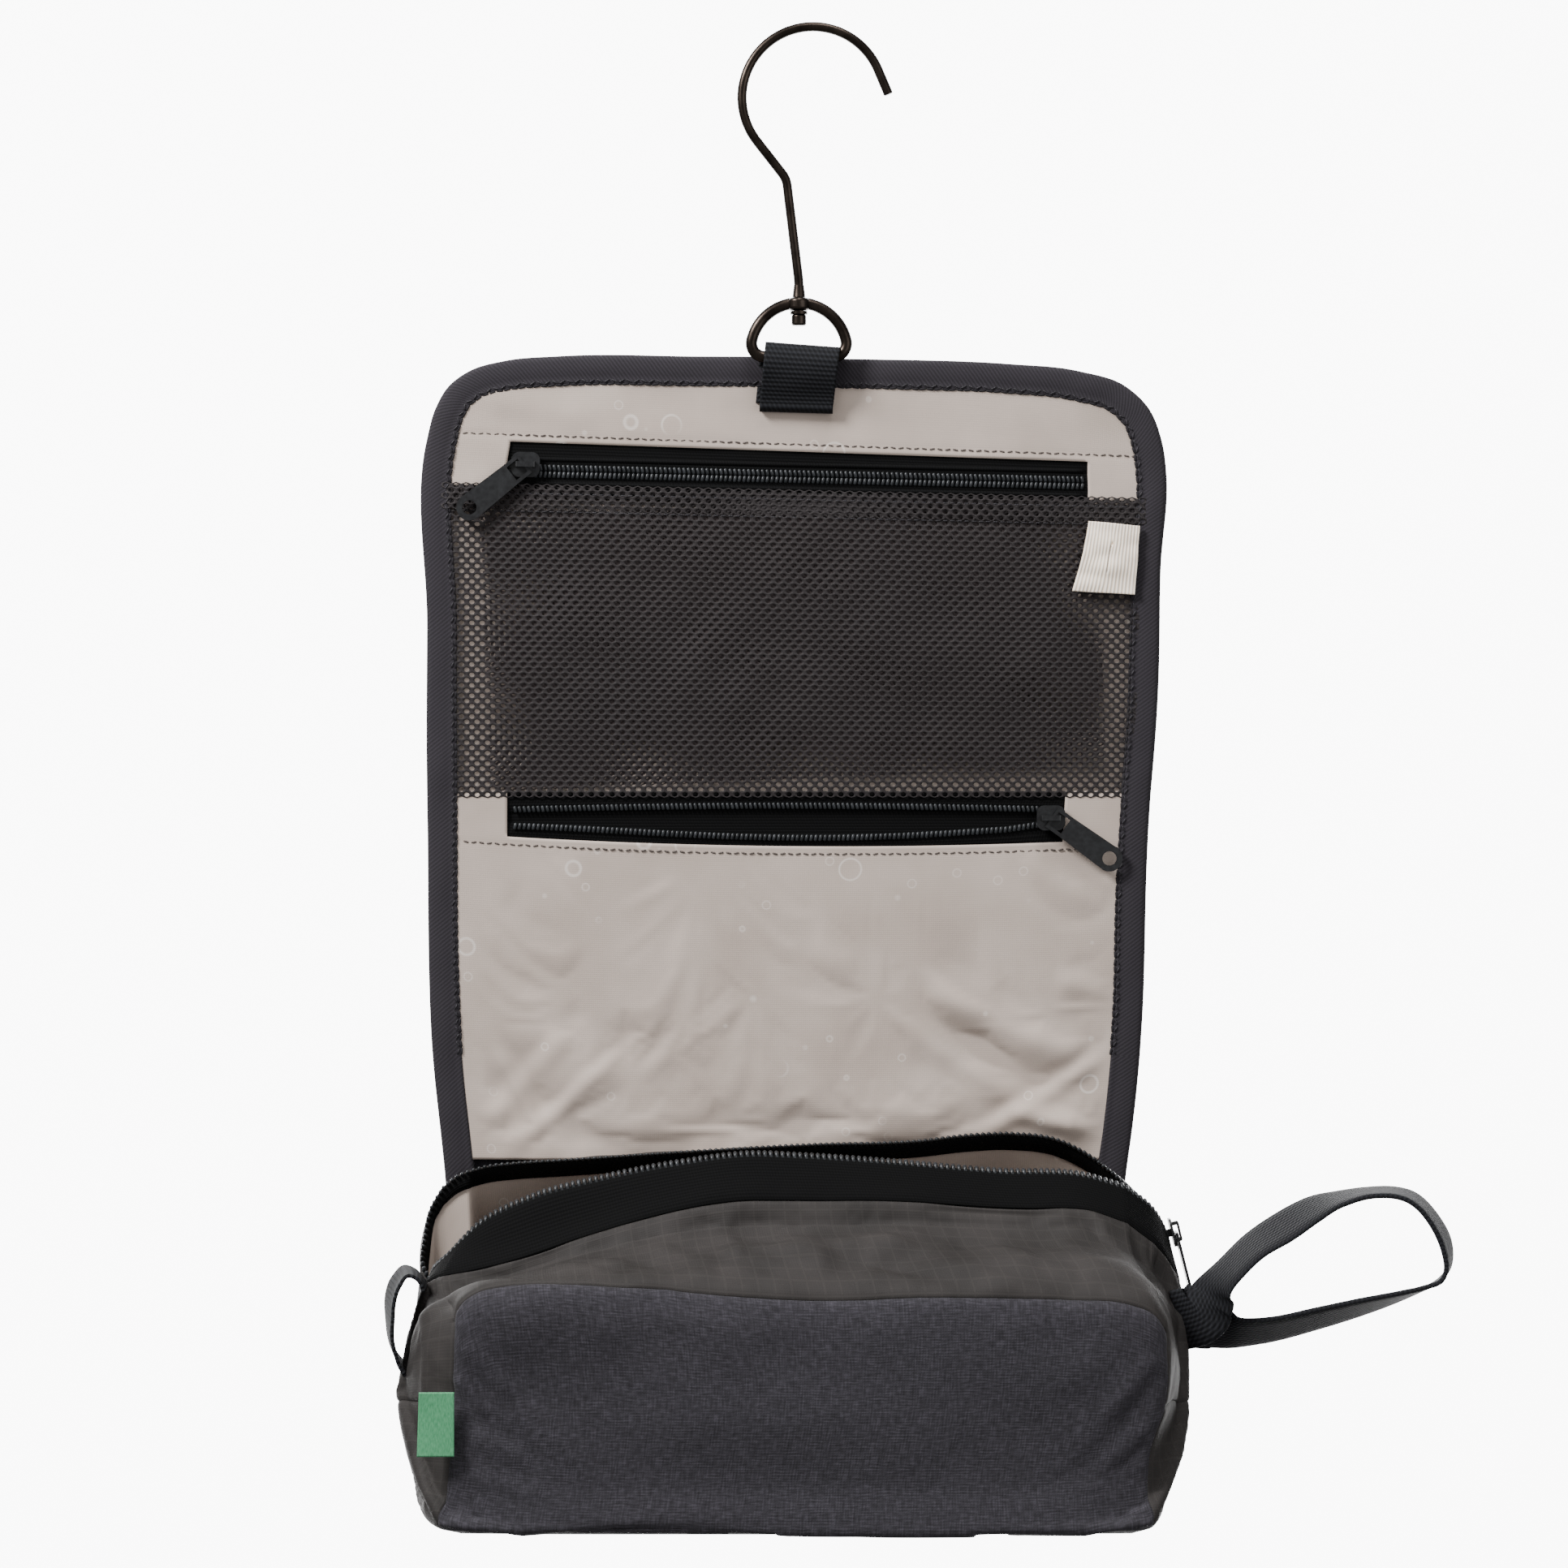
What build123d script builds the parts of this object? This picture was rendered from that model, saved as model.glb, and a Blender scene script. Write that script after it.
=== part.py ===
# Hanging toiletry bag: a wire hook on a swivel D-ring, a fold-out organiser flap with two zipped
# pockets, and a zipped wash pouch with a wrist strap at its foot.
# Millimetres, +Z up, +X to the right as seen from the front, the front faces -Y.
# The origin is the point of the hook that rests on a rail, the inside of its bend.
from build123d import *
from math import cos, radians, sin
import os

os.makedirs("parts", exist_ok=True)

# Hook and swivel
wire_radius = 1.6
hook_radius = 23.8
tip_angle = 23
bend_angle = 218
tip_length = 9
neck_length = 16
swivel_x = -4.7
stem_straighten_z = -84
stem_fillets = (8, 30)
collar_radius = 2.2
collar_neck_radius = 1.7
collar_height = 4
boss_radius = 3.75
boss_height = 4.2
boss_top_z = -89.5
boss_round = 1.2
swivel_play = 0.1
axial_play = 0.3
washer_radius = 2.9
washer_height = 1.0
button_radius = 2.5
button_height = 3.8
button_round = 0.8

# D-ring
ring_wire_radius = 1.95
ring_radius = 16.25
ring_corner = 4.5
ring_bar_z = -109.2
ring_bar_drop = 1.8

# Webbing
webbing_thickness = 1.2
webbing_width = 25
webbing_play = 0.35
webbing_join_drop = 10
hanger_bottom_z = -125.5

# Flap outline, seen from the front
flap_top_z = -111.5
flap_bottom_z = -371.5
flap_tail_z = -411.5
fold_z = -293
fold_gap = 0.5
flap_top_left_x = -130
flap_top_right_x = 119
flap_bottom_left_x = -123.5
flap_bottom_right_x = 104
flap_corner = 24
binding_width = 10
binding_edge = 1.0

# Flap layers, from the front to the back along Y
binding_front_y = 3.6
facing_front_y = 4.3
facing_back_y = 4.8
divider_front_y = 5.2
divider_back_y = 5.5
backing_front_y = 5.9
foam_front_y = 6.2
foam_back_y = 7.0
outer_back_y = 7.4
binding_back_y = 8.0

# Zips on the flap
zip_centre_x = -5.2
zip_half_length = 97.7
zip_half_window = 7.4
coil_height = 1.2
coil_width = 1.9
coil_end_inset = 2
upper_zip_z = -147.9
upper_zip_tilt = 1.7
upper_zip_half_gap = 0.6
lower_zip_z = -264
lower_zip_tilt = 0
lower_zip_half_gap = 1.8
divider_inset = 17

# Zip sliders and pulls
slider_length = 9.5
slider_width = 8.4
plate_thickness = 0.8
plate_play = 0.2
plate_corner = 2.6
post_width = 0.6
post_length = 2.6
bridge_length = 6.8
bridge_width = 1.8
bridge_leg = 1.2
bridge_slot = 1.6
bridge_top = 0.75
pull_length = 23.3
pull_half_width = 4.4
pull_neck = 3.9
pull_thickness = 0.9
pull_bar = 0.5
pull_window = 5.2
pull_window_half = 2.7
pull_hole = 2.4
pull_offset = 0.6
upper_slider_at = -91.4
lower_slider_at = 85.3
upper_pull_turn = -141.5
lower_pull_turn = -35.7

# Loop tab on the mesh
tab_left_x = 84
tab_right_x = 104.8
tab_top_z = -164
tab_bottom_z = -189
tab_thickness = 1.4

# Pouch: side profile as (Y, Z) from the rear top round to the mouth
pouch_rear_y = 7
pouch_front_y = -78
base_z = -492
rear_top_z = -372.8
mouth_rear = (-10, -372.8)
mouth_front = (-31, -375)
band_foot = (-40, -386)
front_seam_z = -413
front_edge_round = 9
base_edge_round = 3
wall = 1.6
lining = 0.8
panel_wrap = 2.5
hollow_play = 0.3

# Pouch: front outline as (X, Z), right then left, from the base up
base_right = (107, -492)
widest_right = (121, -440)
slot_foot_right = (120, -408)
mouth_right = (111, -372)
mouth_left = (-119, -372)
slot_foot_left = (-129, -408)
widest_left = (-135, -440)
base_left = (-124.5, -492)
plan_corner = 20
left_seam_x = -118
right_seam_x = 104
gusset_seam_z = -447

# Mouth and its zip
slot_centre_y = -20
slot_half_width = 3
slot_foot_z = -406
slot_foot_share = 0.4
mouth_above_z = -350
tape_reach = 9
main_coil_reach = 2
main_slider_up = 7

# Side loop, wrist strap and label
loop_width = 20
loop_top = (-130.6, -411)
loop_middle = (-142.5, -426)
loop_bottom = (-136.2, -441)
strap_y = -38
strap_width = 12
strap_thickness = 2.2
strap_root_x = 121.6
strap_fillet = 9
strap_tongue_top_z = -418
strap_tongue_bottom_z = -434
strap_tongue_right_x = 132
strap_bend = 4
strap_upper_run = [(130, -415), (140, -403), (168, -388), (196, -386)]
strap_lower_run = [(211, -412), (200, -419), (168, -428), (136, -433)]
label_left_x = -125.5
label_top_z = -446
label_size = (9.6, 20.5)
label_thickness = 0.4

# Longer than the bag in any direction, for the boxes that cut it
beyond = 600


def export(name, shape):
    """Write one sub-part."""
    export_step(shape, f"parts/{name}.step")


def slab(sketch, front_y, back_y):
    """A flat sketch in X and Z, given its thickness along Y."""
    return Pos(0, front_y, 0) * extrude(Plane.XZ * sketch, amount=back_y - front_y, dir=(0, 1, 0))


def polygon(*points):
    return make_face(Polyline(*points, close=True))


# ---- hook ----
def hook_path():
    """Tip, round bend, the sloping neck and the stem that ends on the swivel axis."""
    centre = (0, wire_radius - hook_radius)
    arc = CenterArc(centre, hook_radius, tip_angle, bend_angle - tip_angle)
    tip_direction = Vector(sin(radians(tip_angle)), -cos(radians(tip_angle)))
    tip = Line(arc @ 0 + tip_direction * tip_length, arc @ 0)
    stem_end = boss_top_z - axial_play - boss_height - washer_height
    neck = arc @ 1 + (arc % 1) * neck_length
    stem = FilletPolyline(
        arc @ 1, neck, (swivel_x, stem_straighten_z), (swivel_x, stem_end), radius=list(stem_fillets)
    )
    return Plane.XZ * Wire([tip, arc, *stem.edges()])


def hook_wire():
    path = hook_path()
    section = Plane(path @ 0, z_dir=path % 0) * Circle(wire_radius)
    wire = sweep(section, path)
    collar_bottom = boss_top_z + axial_play
    collar = Cone(collar_radius, collar_neck_radius, collar_height)
    tip_face = wire.faces().filter_by(GeomType.PLANE).sort_by_distance(path @ 0)[0]
    wire = fillet(tip_face.edges(), wire_radius / 3)
    return wire + Pos(swivel_x, 0, collar_bottom + collar_height / 2) * collar


def swivel_washer():
    washer = Cylinder(washer_radius, washer_height) - Cylinder(wire_radius, washer_height)
    z = boss_top_z - boss_height - axial_play - washer_height / 2
    return Pos(swivel_x, 0, z) * washer


def swivel_button():
    button = Cylinder(button_radius, button_height)
    button = fillet(button.edges().filter_by(GeomType.CIRCLE), button_round)
    z = boss_top_z - boss_height - axial_play - washer_height - button_height / 2
    return Pos(swivel_x, 0, z) * button


# ---- D-ring ----
def d_ring():
    """Round wire bent to a D, with a flat boss that the hook turns in."""
    centre_z = ring_bar_z + ring_bar_drop
    circle = Pos(swivel_x, centre_z) * Circle(ring_radius)
    above = Pos(swivel_x, ring_bar_z + ring_radius) * Rectangle(3 * ring_radius, 2 * ring_radius)
    outline = circle & above
    outline = fillet(outline.vertices(), ring_corner)
    path = (Plane.XZ * outline).face().outer_wire()
    ring = sweep(Plane(path @ 0, z_dir=path % 0) * Circle(ring_wire_radius), path)
    boss = Cylinder(boss_radius, boss_height)
    boss = fillet(boss.edges().filter_by(GeomType.CIRCLE), boss_round)
    at = Pos(swivel_x, 0, boss_top_z - boss_height / 2)
    return ring + at * boss - at * Cylinder(wire_radius + swivel_play, 2 * boss_height)


# ---- flap ----
def flap_face():
    """The whole flap outline, slightly narrower at the foot, round at the top corners."""
    face = polygon(
        (flap_top_left_x, flap_top_z),
        (flap_top_right_x, flap_top_z),
        (flap_bottom_right_x, flap_tail_z),
        (flap_bottom_left_x, flap_tail_z),
    )
    return fillet(face.vertices().group_by(Axis.Y)[-1], flap_corner)


def between(top_z, bottom_z):
    """A wide band between two heights, to cut the flap with."""
    return Pos(0, (top_z + bottom_z) / 2) * Rectangle(beyond, top_z - bottom_z)


def zip_place(z, tilt):
    return Pos(zip_centre_x, z) * Rot(0, 0, -tilt)


def zip_band(z, tilt, low, high, left=-zip_half_length, right=zip_half_length):
    """A rectangle in a zip's own directions: along it, and low to high across it."""
    shape = Pos((left + right) / 2, (low + high) / 2) * Rectangle(right - left, high - low)
    return zip_place(z, tilt) * shape


upper_half = between(0, fold_z + fold_gap)
lower_half = between(fold_z - fold_gap, flap_bottom_z)
whole = flap_face()
core = offset(whole, amount=-binding_edge)
inside_binding = offset(whole, amount=-binding_width)


def binding(half):
    """Bias tape folded round the edge of the flap, with room for the layers inside."""
    band = slab((whole & half) - inside_binding, binding_front_y, binding_back_y)
    return band - slab(core, facing_front_y, outer_back_y)


def hanger_webbing():
    """One length of webbing, looped round the D-ring's bar and sewn to the top of the flap."""
    inner = ring_wire_radius + webbing_play
    outer = inner + webbing_thickness
    join_z = ring_bar_z - webbing_join_drop
    sewn_front_y = outer - 2 * webbing_thickness
    profile = polygon(
        (-outer, ring_bar_z),
        (outer, ring_bar_z),
        (outer, hanger_bottom_z),
        (sewn_front_y, hanger_bottom_z),
        (sewn_front_y, join_z),
    )
    profile += Pos(0, ring_bar_z) * Circle(outer)
    tunnel = polygon(
        (-inner, ring_bar_z),
        (inner, ring_bar_z),
        (inner, join_z + 2 * webbing_thickness),
    )
    profile -= tunnel + Pos(0, ring_bar_z) * Circle(inner)
    return Pos(swivel_x - webbing_width / 2, 0, 0) * extrude(
        Plane.YZ * profile, amount=webbing_width, dir=(1, 0, 0)
    )


def zip_tapes(z, tilt, half_gap):
    """The two woven tapes of a zip, one above and one below its middle line."""
    upper = zip_band(z, tilt, half_gap, zip_half_window)
    lower = zip_band(z, tilt, -zip_half_window, -half_gap)
    return [slab(tape, facing_front_y, facing_back_y) for tape in (upper, lower)]


def zip_coils(z, tilt, half_gap):
    """The two rows of coil on the face of the tapes."""
    ends = (-zip_half_length + coil_end_inset, zip_half_length - coil_end_inset)
    upper = zip_band(z, tilt, half_gap, half_gap + coil_width, *ends)
    lower = zip_band(z, tilt, -half_gap - coil_width, -half_gap, *ends)
    return [slab(row, facing_front_y - coil_height, facing_front_y) for row in (upper, lower)]


def zip_end_strips(z, tilt):
    """The lining strips that close the window at both ends of a zip."""
    far = 3 * zip_half_length
    left = zip_band(z, tilt, -zip_half_window, zip_half_window, -far, -zip_half_length)
    right = zip_band(z, tilt, -zip_half_window, zip_half_window, zip_half_length, far)
    return [slab(strip & core, facing_front_y, facing_back_y) for strip in (left, right)]


far_across = 3 * zip_half_length
above_upper_zip = zip_band(upper_zip_z, upper_zip_tilt, zip_half_window, beyond, -far_across, far_across)
below_upper_zip = zip_band(upper_zip_z, upper_zip_tilt, -beyond, -zip_half_window, -far_across, far_across)
mesh_face = core & below_upper_zip & between(0, lower_zip_z + zip_half_window)


def mesh_divider():
    """A second, smaller layer of mesh between the outer mesh and the backing."""
    return slab(offset(mesh_face, amount=-divider_inset), divider_front_y, divider_back_y)


def cream_tab():
    """A folded loop of grosgrain, sewn flat onto the mesh at its right edge."""
    width = tab_right_x - tab_left_x
    height = tab_top_z - tab_bottom_z
    face = Pos((tab_left_x + tab_right_x) / 2, (tab_top_z + tab_bottom_z) / 2) * Rectangle(width, height)
    return slab(face, facing_front_y - tab_thickness, facing_front_y)


# ---- sliders and pulls ----
def zip_slider(place, coil, tape):
    """Front plate, back plate and post round the coils, with the bridge that holds the pull."""
    plate = extrude(RectangleRounded(slider_length, slider_width, plate_corner), plate_thickness)
    front_z = coil + plate_play
    back_z = -tape - plate_play - plate_thickness
    post_height = front_z - back_z
    post = Pos(0, 0, back_z + post_height / 2) * Box(post_length, post_width, post_height)
    arch_height = bridge_slot + bridge_top
    arch = Box(bridge_length, bridge_width, arch_height)
    slot = Pos(0, 0, -bridge_top / 2) * Box(bridge_length - 2 * bridge_leg, bridge_width, bridge_slot)
    arch = fillet((arch - slot).edges().filter_by(Axis.Y).group_by(Axis.Z)[-1], bridge_top * 0.9)
    arch_z = front_z + plate_thickness + arch_height / 2
    body = Pos(0, 0, front_z) * plate + Pos(0, 0, back_z) * plate + post + Pos(0, 0, arch_z) * arch
    return place * body


def zip_pull(place, turn, side, coil):
    """A flat tongue with a window for the bridge at one end and a hole at the other."""
    pivot_z = coil + plate_play + plate_thickness + bridge_slot / 2
    tongue = polygon(
        (-pull_bar, -pull_neck),
        (pull_window, -pull_neck),
        (pull_length, -pull_half_width),
        (pull_length, pull_half_width),
        (pull_window, pull_neck),
        (-pull_bar, pull_neck),
    )
    tongue += Pos(pull_length, 0) * Circle(pull_half_width)
    tongue -= Pos(pull_length, 0) * Circle(pull_hole)
    window_length = pull_window - pull_bar
    tongue -= Pos(pull_bar + window_length / 2, 0) * Rectangle(window_length, 2 * pull_window_half)
    solid = Pos(0, 0, -pull_thickness / 2) * extrude(tongue, pull_thickness)
    return place * Pos(side * pull_offset, 0, pivot_z) * Rot(0, 0, turn) * solid


def flap_zip_plane(z, tilt, at):
    """Where a slider sits on a flap zip: its X runs along the zip, its Z points to the front."""
    along = Vector(cos(radians(tilt)), 0, -sin(radians(tilt)))
    origin = Vector(zip_centre_x, facing_front_y, z) + along * at
    return Plane(origin=origin, x_dir=along, z_dir=(0, -1, 0))


def slot_plane():
    """Where the main slider sits, on the right wall: its X runs up the wall, its Z points out."""
    foot = Vector(slot_foot_right[0], slot_centre_y, slot_foot_right[1])
    top = Vector(mouth_right[0], slot_centre_y, mouth_right[1])
    up = (top - foot).normalized()
    out = Vector(0, 1, 0).cross(up)
    return Plane(origin=foot + up * main_slider_up, x_dir=up, z_dir=out)


# ---- pouch ----
def side_profile():
    """The pouch from the side: upright front, a gusset that slopes back to the mouth."""
    face = polygon(
        (pouch_rear_y, base_z),
        (pouch_rear_y, rear_top_z),
        mouth_rear,
        mouth_front,
        band_foot,
        (pouch_front_y, front_seam_z),
        (pouch_front_y, base_z),
    )
    front = face.vertices().group_by(Axis.X)[0].sort_by(Axis.Y)
    face = fillet(front[-1], front_edge_round)
    base = face.vertices().group_by(Axis.Y)[0].sort_by(Axis.X)
    return fillet(base[0], base_edge_round)


def front_outline():
    """The pouch from the front: full in the middle, drawn in at the base and at the mouth."""
    right = [base_right, widest_right, slot_foot_right, mouth_right]
    left = [mouth_left, slot_foot_left, widest_left, base_left]
    return polygon(*right, *left)


def plan_outline():
    """The pouch from above, with round front corners. It runs on past the rear wall."""
    width = widest_right[0] - widest_left[0]
    depth = 2 * pouch_rear_y - pouch_front_y
    middle = ((widest_right[0] + widest_left[0]) / 2, pouch_front_y + depth / 2)
    face = Pos(*middle) * Rectangle(width, depth)
    front = face.vertices().group_by(Axis.Y)[0]
    return fillet(front, plan_corner)


def through(face):
    """A side view carried right across the bag."""
    return Pos(-beyond, 0, 0) * extrude(Plane.YZ * face, amount=2 * beyond, dir=(1, 0, 0))


def pouch_form(inset):
    """The pouch as a full form, drawn in from its outside by inset."""
    side, front, plan = (
        offset(face, amount=-inset) if inset else face
        for face in (side_profile(), front_outline(), plan_outline())
    )
    along_x = through(side)
    along_y = slab(front, -beyond, beyond)
    along_z = Pos(0, 0, -beyond) * extrude(plan, beyond)
    return along_x & along_y & along_z


def mouth_face(reach=0):
    """The mouth seen from the side: open at the top, a narrowing slot down both ends."""
    return polygon(
        (mouth_front[0] - reach, mouth_above_z),
        (mouth_front[0] - reach, mouth_front[1] - reach),
        (slot_centre_y - slot_half_width - reach, slot_foot_z - reach * slot_foot_share),
        (slot_centre_y + slot_half_width + reach, slot_foot_z - reach * slot_foot_share),
        (mouth_rear[0] + reach, mouth_rear[1] - reach),
        (mouth_rear[0] + reach, mouth_above_z),
    )


def box_between(low, high):
    size = [b - a for a, b in zip(low, high)]
    middle = [(a + b) / 2 for a, b in zip(low, high)]
    return Pos(*middle) * Box(*size)


def side_loop():
    """A short loop of webbing sewn into the left gusset, standing off the wall."""
    arc = ThreePointArc(loop_top, loop_middle, loop_bottom)
    band = trace(arc, webbing_thickness)
    return slab(band, strap_y - loop_width / 2, strap_y + loop_width / 2)


def wrist_strap():
    """The wrist loop, a closed band of webbing on the tongue that is sewn to the right gusset."""
    line = FilletPolyline(*strap_upper_run, *strap_lower_run, radius=strap_bend, close=True)
    outer = make_face(line)
    band = slab(outer - offset(outer, amount=-strap_thickness), strap_y - strap_width / 2, strap_y + strap_width / 2)
    tongue = box_between(
        (strap_root_x, strap_y - strap_thickness, strap_tongue_bottom_z),
        (strap_tongue_right_x, strap_y + strap_thickness, strap_tongue_top_z),
    )
    return band + (tongue - slab(offset(outer, amount=-strap_thickness), -beyond, beyond))


def side_label():
    """A small folded label caught in the seam beside the front panel."""
    centre_x = label_left_x + label_size[0] / 2
    centre_z = label_top_z - label_size[1] / 2
    face = Pos(centre_x, centre_z) * Rectangle(*label_size)
    return slab(face, pouch_front_y - label_thickness, pouch_front_y)


# ---- write every sub-part ----
export("hook_wire", hook_wire())
export("swivel_washer", swivel_washer())
export("swivel_button", swivel_button())
export("d_ring", d_ring())

export("hanger_webbing", hanger_webbing())
export("binding_upper", binding(upper_half))
export("binding_lower", binding(lower_half))
export("flap_outer_upper", slab(core & upper_half, foam_back_y, outer_back_y))
export("flap_outer_lower", slab(core & lower_half, foam_back_y, outer_back_y))
export("flap_foam_upper", slab(core & upper_half, foam_front_y, foam_back_y))
export("flap_foam_lower", slab(core & lower_half, foam_front_y, foam_back_y))
export("pocket_backing", slab(core & upper_half, backing_front_y, foam_front_y))
export("lining_lower", slab(core & lower_half, facing_front_y, foam_front_y))

lining_band = core & above_upper_zip
export("lining_top_band", slab(lining_band, facing_front_y, facing_back_y))
export("upper_zip_tapes", Compound(zip_tapes(upper_zip_z, upper_zip_tilt, upper_zip_half_gap)))
export("upper_zip_coils", Compound(zip_coils(upper_zip_z, upper_zip_tilt, upper_zip_half_gap)))
export("upper_zip_end_strips", Compound(zip_end_strips(upper_zip_z, upper_zip_tilt)))
export("mesh_pocket", slab(mesh_face - between(lower_zip_z + zip_half_window, -beyond), facing_front_y, facing_back_y))
export("mesh_divider", mesh_divider())
export("cream_tab", cream_tab())
export("lower_zip_tapes", Compound(zip_tapes(lower_zip_z, lower_zip_tilt, lower_zip_half_gap)))
export("lower_zip_coils", Compound(zip_coils(lower_zip_z, lower_zip_tilt, lower_zip_half_gap)))
export("lower_zip_end_strips", Compound(zip_end_strips(lower_zip_z, lower_zip_tilt)))
below_lower_zip = core & between(lower_zip_z - zip_half_window, fold_z + fold_gap)
export("lining_fold_strip", slab(below_lower_zip, facing_front_y, facing_back_y))

sliders = {
    "upper_zip": (flap_zip_plane(upper_zip_z, upper_zip_tilt, upper_slider_at), upper_pull_turn + upper_zip_tilt, -1),
    "lower_zip": (flap_zip_plane(lower_zip_z, lower_zip_tilt, lower_slider_at), lower_pull_turn, 1),
}
tape_thickness = facing_back_y - facing_front_y
for name, (place, turn, side) in sliders.items():
    export(f"{name}_slider", zip_slider(Location(place), coil_height, tape_thickness))
    export(f"{name}_pull", zip_pull(Location(place), turn, side, coil_height))
main_place = Location(slot_plane())
export("main_zip_slider", zip_slider(main_place, 0, wall))
export("main_zip_pull", zip_pull(main_place, 180, -1, 0))

outer_form = pouch_form(0)
inner_form = pouch_form(wall)
shell = outer_form - inner_form - through(mouth_face())
tape_form = through(mouth_face(tape_reach))
coil_form = through(mouth_face(main_coil_reach))
everywhere = ((-beyond, -beyond, -beyond), (beyond, beyond, 0))
front_half = box_between(everywhere[0], (beyond, slot_centre_y, 0))
left_half = box_between(everywhere[0], (0, beyond, 0))
front_low = (left_seam_x, -beyond, base_z + base_edge_round)
front_box = box_between(front_low, (right_seam_x, pouch_front_y + panel_wrap, 0))
base_box = box_between(everywhere[0], (beyond, beyond, base_z + base_edge_round))
back_box = box_between((-beyond, pouch_rear_y - wall, base_z + base_edge_round), everywhere[1])
middle_box = box_between((left_seam_x, -beyond, -beyond), (right_seam_x, beyond, 0))
low_box = box_between(everywhere[0], (beyond, beyond, gusset_seam_z))

coils = shell & coil_form
tapes = (shell & tape_form) - coil_form
export("main_zip_coil_front", coils & front_half)
export("main_zip_coil_rear", coils - front_half)
export("main_zip_tape_front", tapes & front_half)
export("main_zip_tape_rear", tapes - front_half)
cloth = shell - tape_form
export("base_panel", cloth & base_box)
export("front_panel", cloth & front_box)
export("back_panel", (cloth & back_box) - base_box)
gusset = cloth - base_box - front_box - back_box
rear_strip_box = box_between((-beyond, slot_centre_y, -beyond), everywhere[1])
export("top_gusset", (gusset & middle_box) - rear_strip_box)
export("rear_top_strip", gusset & middle_box & rear_strip_box)
sides = gusset - middle_box
export("side_gusset_left_upper", (sides & left_half) - low_box)
export("side_gusset_left_lower", sides & left_half & low_box)
export("side_gusset_right_upper", (sides - left_half) - low_box)
export("side_gusset_right_lower", (sides - left_half) & low_box)
export("pouch_lining", inner_form - pouch_form(wall + lining) - through(mouth_face(tape_reach + hollow_play)))
export("side_loop_left", side_loop())
export("side_label", side_label())
export("wrist_strap", wrist_strap())
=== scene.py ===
import bpy
import bmesh
import math
import numpy as np
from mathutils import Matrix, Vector


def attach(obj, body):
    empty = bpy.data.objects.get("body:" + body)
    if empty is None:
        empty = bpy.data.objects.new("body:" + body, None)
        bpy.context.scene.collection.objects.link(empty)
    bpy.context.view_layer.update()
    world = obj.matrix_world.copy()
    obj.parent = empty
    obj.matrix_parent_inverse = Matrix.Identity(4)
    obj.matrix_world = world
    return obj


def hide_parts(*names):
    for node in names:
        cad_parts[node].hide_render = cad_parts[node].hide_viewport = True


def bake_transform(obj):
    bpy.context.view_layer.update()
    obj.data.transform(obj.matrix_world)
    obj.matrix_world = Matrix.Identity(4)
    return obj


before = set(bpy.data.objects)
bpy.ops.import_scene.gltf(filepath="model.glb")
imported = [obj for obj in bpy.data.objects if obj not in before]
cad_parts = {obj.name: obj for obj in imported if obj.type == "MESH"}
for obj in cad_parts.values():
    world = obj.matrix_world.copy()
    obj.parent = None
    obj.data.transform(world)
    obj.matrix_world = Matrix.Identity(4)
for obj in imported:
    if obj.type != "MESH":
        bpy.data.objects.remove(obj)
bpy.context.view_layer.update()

# Hanging toiletry bag: the CAD frame keeps the metal parts, everything sewn is made here.
mm = 0.001


# ---------- nodes and colours ----------
def toLinear(hexColour):
    # sRGB hex to linear values, for every colour in the file
    values = [int(hexColour[i:i + 2], 16) / 255 for i in (1, 3, 5)]
    return [v / 12.92 if v <= 0.04045 else ((v + 0.055) / 1.055) ** 2.4 for v in values] + [1.0]


def addNode(tree, kind, inputs=None, **settings):
    # one node with its settings, its constant inputs and its links
    node = tree.nodes.new(kind)
    for name, value in settings.items():
        setattr(node, name, value)
    for key, value in (inputs or {}).items():
        if isinstance(value, bpy.types.NodeSocket):
            tree.links.new(value, node.inputs[key])
        else:
            node.inputs[key].default_value = value
    return node


def startMaterial(name, **shaderInputs):
    material = bpy.data.materials.new(name)
    material.use_nodes = True
    tree = material.node_tree
    shader = tree.nodes["Principled BSDF"]
    if "Metallic" not in shaderInputs:
        shader.inputs["Specular IOR Level"].default_value = 0.3
    for key, value in shaderInputs.items():
        shader.inputs[key.replace("_", " ")].default_value = value
    return material, tree, shader


def ramp(tree, factor, stops):
    node = addNode(tree, "ShaderNodeValToRGB", {"Fac": factor})
    elements = node.color_ramp.elements
    while len(elements) < len(stops):
        elements.new(0.5)
    for element, (place, colour) in zip(elements, stops):
        element.position = place
        element.color = toLinear(colour) if isinstance(colour, str) else [colour] * 3 + [1.0]
    return node.outputs["Color"]


def mapped(tree, source, scale=(1, 1, 1), turn=0.0):
    return addNode(tree, "ShaderNodeMapping", {
        "Vector": source, "Scale": scale, "Rotation": (0.0, 0.0, turn)}).outputs["Vector"]


def lines(tree, source, period, turn=0.0, distort=0.0):
    # sine bands across X of the mapped source, one per period in metres
    wave = addNode(tree, "ShaderNodeTexWave", {
        "Vector": mapped(tree, source, turn=turn), "Scale": 0.31416 / period,
        "Distortion": distort, "Detail": 1.0, "Detail Scale": 2.0})
    return wave.outputs["Fac"]


def noise(tree, source, size, detail=3.0, stretch=(1, 1, 1)):
    return addNode(tree, "ShaderNodeTexNoise", {
        "Vector": mapped(tree, source, stretch), "Scale": 1.0 / size, "Detail": detail}).outputs["Fac"]


def mathNode(tree, operation, a, b=0.0):
    node = addNode(tree, "ShaderNodeMath", operation=operation)
    for socket, value in zip(node.inputs, (a, b)):
        if isinstance(value, bpy.types.NodeSocket):
            tree.links.new(value, socket)
        else:
            socket.default_value = value
    return node.outputs[0]


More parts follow.
